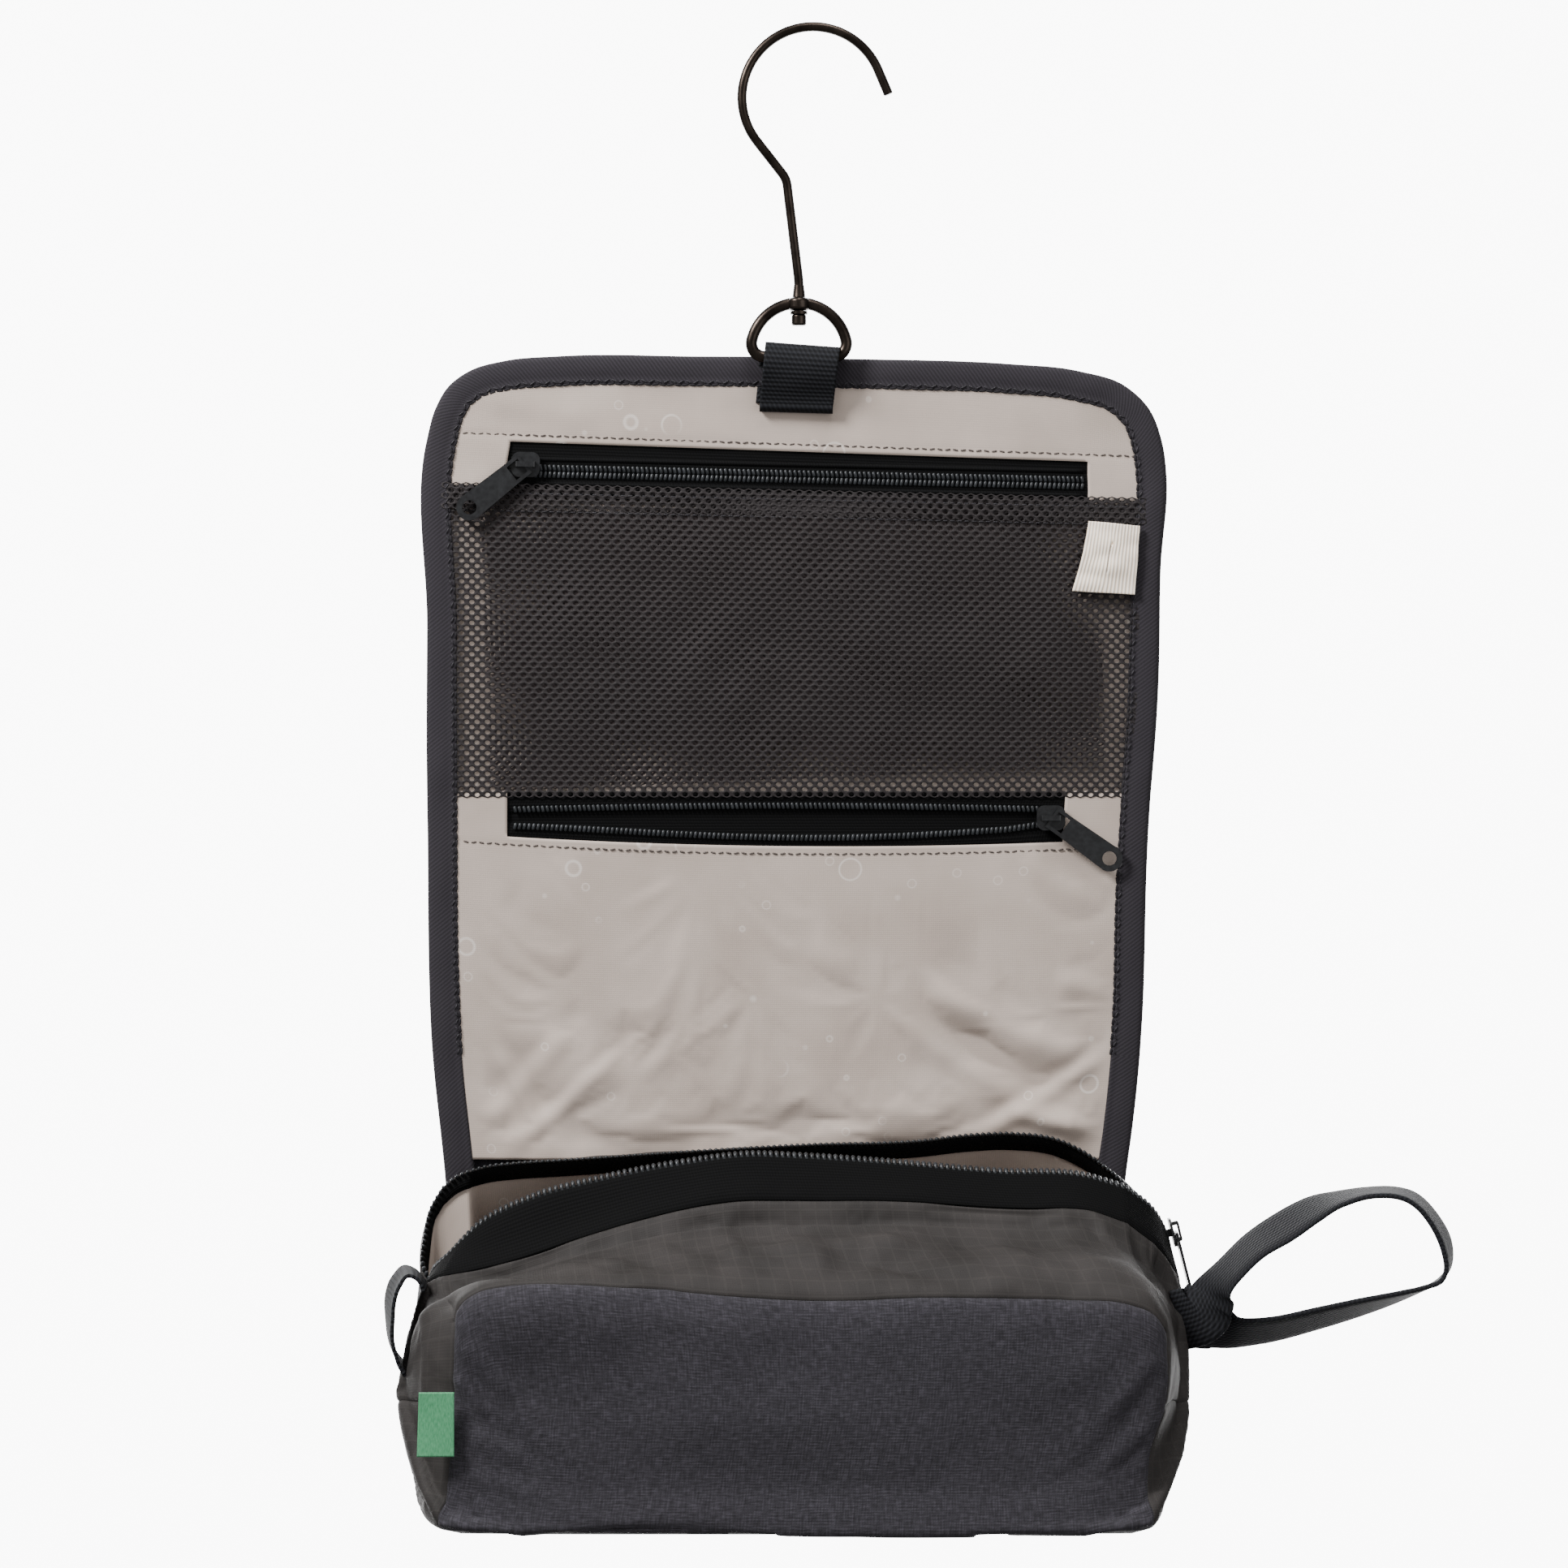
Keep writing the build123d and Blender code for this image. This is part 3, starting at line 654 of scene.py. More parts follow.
def bindingRing(line, inward, name):
    # one closed section carried along the edge: inset from the edge and Y for each point of the section
    w, front, back = binding["width"], binding["frontY"], binding["backY"]
    section = np.array([
        (w, front + 1.3), (w - 0.15, front + 0.5), (w - 0.8, front + 0.25), (w - 2.2, front + 0.3),
        (w - 3.5, front + 0.1), (w / 2, front - 0.05), (2.5, front), (1.1, front + 0.25),
        (0.25, front + 1.1), (0.0, (front + back) / 2), (0.25, back - 1.1), (1.1, back - 0.3),
        (2.5, back), (w / 2, back), (w - 1.5, back - 0.1), (w, back - 0.5)])
    section = curveThrough(section, 34, closed=True)
    wander = softNoise(line[:, 0], line[:, 1], 60.0, 3) * binding["waviness"]
    puff = softNoise(line[:, 0] * 1.3, line[:, 1], 26.0, 5)[:, None] * 0.16 * np.sin(
        np.clip(section[None, :, 0] / w, 0, 1) * math.pi)
    across = section[None, :, 0] + wander[:, None]
    flat = line[:, None, :] + inward[:, None, :] * across[..., None]
    y = np.broadcast_to(section[None, :, 1], across.shape) - puff * (section[None, :, 1] < 5.5)
    points = pointsAt(flat[..., 0], y, flat[..., 1])
    along = np.concatenate([[0], np.cumsum(np.linalg.norm(np.diff(line, axis=0), axis=1))]) * mm
    uv = np.stack(np.broadcast_arrays(along[:, None], section[None, :, 0] * mm), axis=-1).reshape(-1, 2)
    return gridPiece(name, points, twill, closedColumns=True, uv=uv)


upperPart = edgeLine[:, 1] > tailZ
upperBinding = bindingRing(edgeLine[upperPart], edgeInward[upperPart], "flapBinding")
finishBlended(upperBinding, flapFold, "binding_tape", "binding_upper", "binding_lower")

half = len(edgeLine) // 2
for side, part in (("Left", slice(0, half)), ("Right", slice(half, None))):
    line, inward = edgeLine[part], edgeInward[part]
    low = line[:, 1] <= tailZ
    low[:-1] |= low[1:]
    low[1:] |= low[:-1].copy() & (line[1:, 1] <= tailZ + 0.9)
    tail = bindingRing(line[low], inward[low], "bindingTail" + side)
    finishBlended(tail, pouchFold, "binding_tape")

seam = insetEdge(binding["width"] - 1.1)[upperPart]
seam3d = pointsAt(seam[:, 0], binding["frontY"] + 0.2, seam[:, 1])
seamStitch = stitchRow("bindingStitches", seam3d, (0, -1, 0), darkThread, binding["stitchPitch"] * mm, 0.8,
                       0.5 * mm, zigzag=0.5)
finishBlended(seamStitch, flapFold, "binding_tape")

# the stitches pull small scallops of the tape over the lining
scallop = insetEdge(binding["width"] - 0.1)[upperPart]
scallop3d = pointsAt(scallop[:, 0], binding["frontY"] + 0.75, scallop[:, 1])
scallops = stitchRow("bindingScallops", scallop3d, (0, -1, 0), twill, binding["stitchPitch"] * mm,
                     0.98, 0.9 * mm, zigzag=0.12)
finishBlended(scallops, flapFold, "binding_tape")
print("binding made")


# ---------- linings of the flap ----------
lining = {
    "y": 4.6,            # face of the lining, mm
    "thickness": 0.35,   # mm
    "upperTop": (-137.3, -144.1),    # height of the upper window's top at its left and right end, mm
    "upperFoot": (-153.1, -157.5),
    "lowerTop": -256.5,
    "lowerFoot": (-270.3, -273.6, -272.1),   # left end, middle, right end
    "upperWindow": (-102.9, 92.5),           # X of the window's ends
    "lowerWindow": (-102.9, 84.5),
    "wrinkle": 1.25,      # depth of the soft wrinkles low on the flap, mm
    "growth": 0.03,       # how much too large the lower panel is for its frame
    "limit": 3.2,         # the furthest any point of it may settle, mm
}


def windowColumns(window, z, count):
    # shares of the flap's width, closer together and exact at the ends of a window
    left, right = sideX(np.array([z]), 5.0, False)[0], sideX(np.array([z]), 5.0, True)[0]
    stops = [(x - left) / (right - left) for x in window]
    counts = [max(6, int(count * span)) for span in (stops[0], stops[1] - stops[0], 1 - stops[1])]
    a = np.linspace(0, stops[0], counts[0], endpoint=False)
    b = np.linspace(stops[0], stops[1], counts[1], endpoint=False)
    c = np.linspace(stops[1], 1, counts[2])
    return np.concatenate([a, b, c])[None, :], counts[0], counts[0] + counts[1]


def windowPiece(name, points, hole, material):
    # a grid whose faces inside hole (rows, columns) are left out
    rows, columns = points.shape[:2]
    faces = gridFaces(rows, columns)
    row, column = np.divmod(np.arange(len(faces)), columns - 1)
    r0, r1, c0, c1 = hole
    keep = ~((row >= r0) & (row < r1) & (column >= c0) & (column < c1))
    piece = makeObject(name, (points * mm).reshape(-1, 3), faces[keep].tolist(), material,
                       clothUv(points * mm))
    solid = piece.modifiers.new("thickness", "SOLIDIFY")
    solid.thickness = lining["thickness"] * mm
    solid.offset = -1
    return piece


def lineAcross(ends, x):
    # straight line between two window ends, carried on past them
    left, right = lining["upperWindow"]
    return ends[0] + (x - left) / (right - left) * (ends[1] - ends[0])


upperSpan = lining["upperWindow"][1] - lining["upperWindow"][0]
lowerSpan = lining["lowerWindow"][1] - lining["lowerWindow"][0]


shares, firstColumn, lastColumn = windowColumns(lining["upperWindow"], -145.0, 240)
xs = sideX(np.array([[-140.0]]), 5.0, False) * (1 - shares) + sideX(np.array([[-140.0]]), 5.0, True) * shares
topLine = lineAcross(lining["upperTop"], xs)
footLine = lineAcross(lining["upperFoot"], xs) - 1.5
down = np.linspace(0, 1, 24)[:, None]
rowsAbove = topZ(xs, 5.0) * (1 - down) + topLine * down
rowsBelow = topLine * (1 - down[1:15] / down[14]) + footLine * down[1:15] / down[14]
topRows = np.vstack([rowsAbove, rowsBelow])
topGrid = flapGrid(topRows, shares, lining["y"])
nearSeam = np.exp(-((topGrid[..., 2] - (topLine + 2.3)) / 1.2) ** 2)
topGrid[..., 1] += 0.15 * nearSeam + softNoise(topGrid[..., 0], topGrid[..., 2] * 1.6, 30, 8) * 0.1
topGrid[..., 1] -= 0.45 * ridge(topGrid[..., 0], topGrid[..., 2], -118, -122, -70, -131, 5)
topLining = windowPiece("topLining", topGrid, (23, 60, firstColumn, lastColumn), taffeta)
finishPiece(topLining, "flap_upper", "lining_taffeta", "lining_top_band", "upper_zip_end_strips")

seamX = np.linspace(sideX(np.array([-137.0]), 9.5, False)[0], sideX(np.array([-143.0]), 9.5, True)[0], 400)
seamZ = lineAcross(lining["upperTop"], seamX) + 2.4
topSeam = stitchRow("topSeamStitches", pointsAt(seamX, lining["y"] - 0.12, seamZ), (0, -1, 0),
                    greyThread, 2.6 * mm, 0.7, 0.6 * mm, zigzag=0.22)
finishPiece(topSeam, "flap_upper", "lining_taffeta")

# the lower lining: side strips beside the open zip, then the plain panel that wrinkles towards the pouch
shares, firstColumn, lastColumn = windowColumns(lining["lowerWindow"], -265.0, 230)


def lowerFootZ(x):
    left, right = lining["lowerWindow"]
    middle = 5.0
    a, b, c = lining["lowerFoot"]
    t = np.clip((x - left) / (right - left), -0.15, 1.1)
    m = (middle - left) / (right - left)
    return a * (t - m) * (t - 1) / (m) + b * t * (t - 1) / (m * (m - 1)) + c * t * (t - m) / (1 - m)


xs = sideX(np.array([[-265.0]]), 5.0, False) * (1 - shares) + sideX(np.array([[-265.0]]), 5.0, True) * shares
footLine = lowerFootZ(xs)
stripShare = np.linspace(0, 1, 12)[:, None]
panelShare = np.linspace(0, 1, 110)[1:, None]
rowsStrip = (lining["lowerTop"] + 1.5) * (1 - stripShare) + footLine * stripShare
rowsPanel = footLine * (1 - panelShare) + -379.0 * panelShare
lowerGrid = flapGrid(np.vstack([rowsStrip, rowsPanel]), shares, lining["y"])
gx, gz = lowerGrid[..., 0], lowerGrid[..., 2]
low = np.clip((-gz - 278) / 90, 0, 1)
edgeFade = np.clip((gx - sideX(gz, 9.5, False)) / 12, 0, 1) * np.clip((sideX(gz, 9.5, True) - gx) / 12, 0, 1)
relief = softNoise(gx * 0.75, gz * 1.3, 34, 21) * low * 0.75 + softNoise(gx, gz, 15, 22) * low ** 2 * 0.22
creases = [
    (-114, -372, -78, -330, 4.5, 1.3), (-104, -378, -60, -338, 3.5, 1.1), (-60, -352, -20, -322, 5.0, 1.0),
    (-44, -296, 28, -316, 9.0, 1.0), (30, -318, 104, -352, 6.0, 1.5), (22, -330, 92, -372, 5.0, 1.4),
    (48, -376, 108, -338, 3.5, 1.3), (62, -362, 106, -372, 3.0, 1.2), (-4, -306, 40, -340, 6.0, 0.9),
    (-116, -300, -76, -316, 7.0, 0.7), (66, -276, 108, -300, 6.0, 0.7), (-108, -340, -90, -372, 3.0, 0.8),
    (80, -318, 108, -326, 4.0, 0.8), (-96, -280, -40, -290, 6.0, 0.4)]
for ax, az, bx, bz, width, depth in creases:
    relief += depth * ridge(gx, gz, ax, az, bx, bz, width) - 0.55 * depth * ridge(
        gx, gz, ax + 0.9 * width, az + 1.6 * width, bx + 0.9 * width, bz + 1.6 * width, width)
lowerGrid[..., 1] -= relief * lining["wrinkle"] * edgeFade
seamDip = np.exp(-((gz - (lowerFootZ(gx) - 2.6)) / 1.1) ** 2)
lowerGrid[..., 1] += 0.15 * seamDip
lr, lc = lowerGrid.shape[:2]
held = np.zeros((lr, lc))
held[:16] = 1
held[-6:] = 1
held[:, :6] = held[:, -6:] = 1
growth = np.full((lr, lc), lining["growth"]) * np.clip((np.arange(lr)[:, None] - 20) / 60, 0.15, 1)
lowerGrid = settleCloth(lowerGrid, held, growth, lining["limit"])
lowerGrid[..., 1] = np.clip(lowerGrid[..., 1], 0.6, 6.0)
lowerLining = windowPiece("lowerLining", lowerGrid, (0, 11, firstColumn, lastColumn), taffeta)
finishBlended(lowerLining, flapFold, "lining_taffeta",
              "lining_fold_strip", "lining_lower", "lower_zip_end_strips")

seamX = np.linspace(-118, 103, 400)
lowSeam = stitchRow("lowerSeamStitches", pointsAt(seamX, lining["y"] - 0.12, lowerFootZ(seamX) - 2.6),
                    (0, -1, 0), greyThread, 2.6 * mm, 0.7, 0.6 * mm, zigzag=0.22)
finishPiece(lowSeam, "flap_upper", "lining_taffeta")

# backing behind the mesh pocket, and the back of the flap
backGrid = flapGrid(np.linspace(-112.0, -290.0, 60)[:, None], 80, 6.0)
backing = gridPiece("pocketBacking", backGrid * mm, taffeta)
finishPiece(backing, "flap_upper", "lining_taffeta", "pocket_backing", "flap_foam_upper")


def backPanelGrid(top, foot, rows, y, inset):
    points = flapGrid(np.linspace(top, foot, rows)[:, None], 90, y, inset)
    points[..., 1] += softNoise(points[..., 0], points[..., 2], 60, 31) * 0.25
    return points[:, ::-1]


outerUpper = gridPiece("flapBackUpper", backPanelGrid(-108.0, -334.0, 120, 7.55, 4.0) * mm, melange)
finishBlended(outerUpper, flapFold, "shell_melange",
              "flap_outer_upper", "flap_outer_lower", "flap_foam_lower")
outerLower = gridPiece("flapBackLower", backPanelGrid(-332.0, -406.0, 50, 7.75, 4.0) * mm, melange)
finishBlended(outerLower, pouchFold, "shell_melange")
print("linings made")


# ---------- mesh pocket ----------
meshPocket = {
    "pitch": 3.5,       # holes along a row, mm
    "rowPitch": 1.8,    # between rows, every second row shifted by half a pitch, mm
    "hole": 0.80,       # half height of a hole, mm
    "holeAcross": 0.95,  # half width of a hole, mm
    "y": 4.15,
}


def meshCells(left, right, top, foot, scale=1.0, opened=None):
    # honeycomb of six-sided cells: eight points on each cell's edge joined to eight on its hole
    pitch, rowPitch = meshPocket["pitch"] * scale, meshPocket["rowPitch"] * scale
    a, h, k = pitch / 2, rowPitch / 3, rowPitch * 2 / 3
    outer = np.array([(a, 0), (a, h), (0, k), (-a, h), (-a, 0), (-a, -h), (0, -k), (a, -h)])
    angle = np.radians([0, 48, 90, 132, 180, 228, 270, 312])
    hole = np.array([meshPocket["holeAcross"], meshPocket["hole"]])
    inner = np.stack([np.cos(angle), np.sin(angle)], axis=1) * hole * scale
    columns = int((right - left) / pitch)
    rows = int((top - foot) / rowPitch)
    x = left + (np.arange(columns)[None, :] + 0.5 + 0.5 * (np.arange(rows)[:, None] % 2)) * pitch
    z = top - (np.arange(rows)[:, None] + 0.5) * rowPitch + 0 * x
    centres = np.stack([x, z], axis=-1).reshape(-1, 1, 2)
    share = 1.0 if opened is None else opened(centres[..., :1], centres[..., 1:])
    points = np.concatenate([centres + outer, centres + inner * share], axis=1).reshape(-1, 2)
    n = np.arange(8)
    quad = np.stack([n, (n + 1) % 8, (n + 1) % 8 + 8, n + 8], axis=1)
    faces = (np.arange(len(centres))[:, None, None] * 16 + quad[None]).reshape(-1, 4)
    return points, faces


def joinCells(piece, thickness=0.0):
    # one net from separate cells, its yarn given a thickness
    work = bmesh.new()
    work.from_mesh(piece.data)
    bmesh.ops.remove_doubles(work, verts=work.verts, dist=0.02 * mm)
    work.to_mesh(piece.data)
    work.free()
    piece.data.update()
    if thickness:
        yarn = piece.modifiers.new("yarn", "SOLIDIFY")
        yarn.thickness = thickness
        yarn.offset = 0


def meshDrape(x, z):
    # the pocket hangs a little slack: it stands off the backing between its four sewn edges
    across = np.clip((x + 121) / 236, 0, 1)
    down = np.clip((-z - 153) / 103, 0, 1)
    slack = np.sin(across * math.pi) ** 0.6 * np.sin(down * math.pi) ** 0.7
    waves = softNoise(x * 0.8, z * 1.2, 46, 41) * 0.6 + softNoise(x, z, 20, 42) * 0.2
    return slack * (0.9 + 0.75 * waves)


# the pocket's own piece, woven from its sloping top edge to the lower zip
points, faces = meshCells(-127.0, 117.0, -149.0, -257.0)
centreHeight = points[:, 1]
slope = np.interp(centreHeight, [-257.0, -149.0], [0.0, 1.0])
drop = (points[:, 0] - lining["upperWindow"][0]) / upperSpan * 4.6 + 3.2
x, z = points[:, 0], points[:, 1] - drop * slope
x = np.clip(x, sideX(z, 5.0, False), sideX(z, 5.0, True))
outerMesh = makeObject("meshPocket", pointsAt(x, meshPocket["y"] - meshDrape(x, z), z), faces.tolist(),
                       meshYarn, points * mm)
joinCells(outerMesh, 0.2 * mm)
finishPiece(outerMesh, "flap_upper", "pocket_mesh", "mesh_pocket")


def dividerOpened(x, z):
    # the inner net is drawn together in the middle and opens towards its edges, so the light fades out slowly
    edge = np.minimum(np.minimum(x + 106, 99 - x) / 26, (z + 252) / 20) + 0.22 * softNoise(x, z, 40, 43)
    return 1.12 - 0.85 * np.clip(edge, 0, 1)


points, faces = meshCells(-108.0, 101.0, -158.0, -251.0, 1.03, dividerOpened)
turn = math.radians(2.2)
x = points[:, 0] * math.cos(turn) - (points[:, 1] + 209) * math.sin(turn) - 2.0
z = points[:, 0] * math.sin(turn) + (points[:, 1] + 209) * math.cos(turn) - 209
z = np.clip(z, -255.5, lineAcross(lining["upperFoot"], x) - 1.0)
# its yarn is painted lighter for the light that shows through the outer net
innerMesh = makeObject("meshDivider", pointsAt(x, meshPocket["y"] + 0.55 - meshDrape(x, z), z),
                       faces.tolist(), innerYarnPaintedLight, points * mm)
joinCells(innerMesh)
finishPiece(innerMesh, "flap_upper", "pocket_mesh", "mesh_divider")
print("mesh pocket made")


# ---------- small flat pieces ----------
def stripPiece(name, corners, y, material, rows, columns, thickness=0.5, bulge=0.0):
    # a flat strip between its four corners, from top left clockwise, given as (X, Z) in mm
    tl, tr, br, bl = [np.array(c, dtype=float) for c in corners]
    u = np.linspace(0, 1, columns)[None, :, None]
    v = np.linspace(0, 1, rows)[:, None, None]
    flat = (tl * (1 - u) + tr * u) * (1 - v) + (bl * (1 - u) + br * u) * v
    x, z = flat[..., 0], flat[..., 1]
    y = y - bulge * np.sin(v[..., 0] * math.pi) - 0 * x
    return gridPiece(name, pointsAt(x, y, z), material, thickness=thickness * mm)


# ---------- zips of the flap ----------
zipper = {
    "coilPitch": 1.55,   # from one turn of the coil to the next, mm
    "coilAcross": 2.3,   # length of one turn across the zip, mm
    "coilWidth": 1.15,   # thickness of one turn along the zip, mm
    "coilHeight": 1.0,   # how far the coil stands off its tape, mm
    "tapeY": 5.35,       # face of the tapes, behind the lining, mm
}


def coilRow(name, path, down, outward, size=1.0):
    # turns of a nylon coil along a path: short bars that lie across it, slightly slanted
    length = np.concatenate([[0], np.cumsum(np.linalg.norm(np.diff(path, axis=0), axis=1))])
    count = int(length[-1] / (zipper["coilPitch"] * mm * size))
    at = (np.arange(count) + 0.5) * length[-1] / count

    def spread(values):
        values = np.broadcast_to(values, path.shape)
        return np.stack([np.interp(at, length, values[:, k]) for k in range(3)], axis=1)

    centres, tangent = spread(path), unit(spread(frames(path)))
    across, out = unit(spread(down)), unit(spread(outward))
    slant = across + 0.22 * tangent
    turn = [zipper[key] * mm * size for key in ("coilAcross", "coilWidth", "coilHeight")]
    return manyBars(name, centres, slant, out, *turn, coilNylon)


# upper zip, closed: two tapes and two rows of coil that meet on its middle line
middle = (-147.0, -151.3)
upperTapes = stripPiece("upperZipTapes", [(-104.5, -135.8), (94.5, -142.7), (94.5, -160.5), (-104.5, -156.0)],
                        zipper["tapeY"], zipTape, rows=14, columns=120)
finishPiece(upperTapes, "flap_upper", "zip_tape", "upper_zip_tapes")
x = np.linspace(-94, 91.5, 300)
for name, shift, slantDown in (("upperCoilA", 1.15, 1.0), ("upperCoilB", -1.15, -1.0)):
    path = pointsAt(x, zipper["tapeY"] - 0.75, lineAcross(middle, x) + shift)
    coil = coilRow(name, path, (0, 0, -slantDown), (0, -1, 0))
    finishPiece(coil, "flap_upper", "zip_coil", "upper_zip_coils")
for name, shift in (("upperTapeFoldA", 4.0), ("upperTapeFoldB", -4.2)):
    corners = [(end, lineAcross(middle, end) + shift + half)
               for end, half in ((-101.5, 0.5), (91.5, 0.5), (91.5, -0.5), (-101.5, -0.5))]
    fold = stripPiece(name, corners,
                      zipper["tapeY"] - 0.15, zipTape, rows=6, columns=60, bulge=0.35)
    finishPiece(fold, "flap_upper", "zip_tape")

# lower zip, open: the upper tape hangs straight, the lower one sags, and a black sheet of zip tape behind
# them is painted shade for the dark inside of the pocket
gapShadeSheet = stripPiece("lowerZipPocket", [(-106, -255.0), (88, -255.0), (88, -277.0), (-106, -277.0)],
                     5.75, zipTape, rows=8, columns=40, thickness=0.2)
finishPiece(gapShadeSheet, "flap_upper", "zip_tape")


def lowerUpperEdge(x):
    # lower edge of the upper tape: it lifts a little over the open part
    t = np.clip((x - lining["lowerWindow"][0]) / lowerSpan, 0, 1)
    return -262.4 + 1.3 * np.sin(t * math.pi)


def lowerLowerEdge(x):
    # upper edge of the lower tape: it sags most right of the middle and closes on the slider
    t = np.clip((x - lining["lowerWindow"][0]) / lowerSpan, 0, 1)
    return -265.6 - 4.0 * np.sin(t ** 1.15 * math.pi) ** 1.2 + 1.6 * np.clip((t - 0.9) * 10, 0, 1)


for name, edge, far, side in (("lowerTapeA", lowerUpperEdge, -255.2, 1.0),
                              ("lowerTapeB", lowerLowerEdge, None, -1.0)):
    x = np.linspace(-104.0, 86.0, 160)[None, :]
    share = np.linspace(0, 1, 14)[:, None]
    farZ = far if far is not None else lowerFootZ(x) - 1.0
    z = edge(x) * (1 - share) + farZ * share
    y = zipper["tapeY"] + 0 * z - 0.5 * np.sin(share * math.pi)
    points = np.stack([x + 0 * z, y, z], axis=-1)
    tape = gridPiece(name, (points if side > 0 else points[::-1]) * mm, zipTape, thickness=0.4 * mm)
    finishPiece(tape, "flap_upper", "zip_tape", "lower_zip_tapes")
    x = np.linspace(-101, 79.5, 300)
    path = pointsAt(x, zipper["tapeY"] - 1.0, edge(x) + side * 1.15)
    coil = coilRow(name + "Coil", path, (0, 0, -side), (0, -1, 0))
    finishPiece(coil, "flap_upper", "zip_coil", "lower_zip_coils")

# the hem along the top of the mesh: doubled mesh with two rows of dark stitches
hemX = np.linspace(-118, 106, 300)
for name, dropBy in (("meshHemStitchA", 1.6), ("meshHemStitchB", 7.6)):
    z = lineAcross(lining["upperFoot"], hemX) - dropBy
    hem = stitchRow(name, pointsAt(hemX, 3.75, z), (0, -1, 0), darkThread,
                    2.4 * mm, 0.7, 0.45 * mm)
    finishPiece(hem, "flap_upper", "pocket_mesh")
points, faces = meshCells(-126.0, 114.0, -151.6, -160.4, 0.97)
dropLine = (points[:, 0] - lining["upperWindow"][0]) / upperSpan * 4.4
z = points[:, 1] - dropLine
x = np.clip(points[:, 0] + 0.9, sideX(z, 5.0, False), sideX(z, 5.0, True))
hemMesh = makeObject("meshHem", pointsAt(x, 3.72, z), faces.tolist(), meshYarn, points * mm)
joinCells(hemMesh, 0.3 * mm)
finishPiece(hemMesh, "flap_upper", "pocket_mesh")
print("flap zips made")


# ---------- cream tab and hanger webbing ----------
creamTab = {
    "thickness": 0.9,     # mm, and its four corners as (X, Z)
    "tl": (92.8, -164.2), "tr": (109.8, -166.0), "br": (108.2, -189.0), "bl": (87.2, -187.6),
}
tl, tr, br, bl = [np.array(creamTab[k]) for k in ("tl", "tr", "br", "bl")]
u = np.linspace(0, 1, 50)[None, :, None]
v = np.linspace(0, 1, 60)[:, None, None]
flat = (tl * (1 - u) + tr * u) * (1 - v) + (bl * (1 - u) + br * u) * v
bow = np.sin(v[..., 0] * math.pi) * 0.6 + np.sin(u[..., 0] * math.pi) * 0.5
y = 2.6 - bow + 0.25 * softNoise(flat[..., 0] * 1.5, flat[..., 1] * 3, 22, 51)
flat[..., 0] += 0.5 * np.sin(v[..., 0] * math.pi) * (u[..., 0] < 0.5)
tab = gridPiece("creamTab", pointsAt(flat[..., 0], y, flat[..., 1]), grosgrain,
                thickness=creamTab["thickness"] * mm)
finishPiece(tab, "flap_upper", "cream_grosgrain", "cream_tab")

hanger = {
    "profile": [(3.4, -124.4), (3.9, -117), (3.4, -112.5), (2.3, -107.6), (0.2, -105.4),
                (-2.2, -106.6), (-3.2, -109.6), (-2.9, -113.2), (-1.3, -117.6), (0.5, -121.4),
                (1.5, -124.4), (1.7, -125.6), (2.3, -126.2), (2.9, -125.8), (3.1, -124.8)],
    "thickness": 1.3,
    "top": (-16.0, 9.0),      # X of the left and right edge at the top, mm
    "foot": (-17.9, 6.7),
    "slope": -0.075,          # the tab's top edge falls this much per mm to the right
}
line = curveThrough(np.array(hanger["profile"]), 110)
share = np.clip((-line[:, 1] - 105.4) / 20, 0, 1)[:, None]
left = hanger["top"][0] * (1 - share) + hanger["foot"][0] * share
right = hanger["top"][1] * (1 - share) + hanger["foot"][1] * share
rear = np.clip((line[:, 0:1] - 0.5) / 2.5, 0, 1) * (np.arange(110)[:, None] < 40)
u = np.linspace(0, 1, 36)[None, :]
x = left * (1 - u) + right * u - 1.4 * rear
slope = hanger["slope"] * (1 - share * 0.6)
z = line[:, 1:2] + slope * (x + 16)
y = line[:, 0:1] + 0 * x + 0.12 * softNoise(x, z * 2, 16, 52)
hangerTab = gridPiece("hangerWebbing", pointsAt(x, y, z), webbing,
                      thickness=hanger["thickness"] * mm)
finishPiece(hangerTab, "flap_upper", "black_webbing", "hanger_webbing")
for name, dropBy in (("hangerStitchA", 118.2), ("hangerStitchB", 124.3)):
    x = np.linspace(-16.2, 6.4, 60)
    y = np.interp(dropBy, -line[45:95, 1], line[45:95, 0])
    z = -dropBy + hanger["slope"] * 0.5 * (x + 16)
    row = stitchRow(name, pointsAt(x, y - 0.12, z), (0, -1, 0), darkThread,
                    2.2 * mm, 0.72, 0.4 * mm)
    finishPiece(row, "flap_upper", "black_webbing")
print("tabs made")


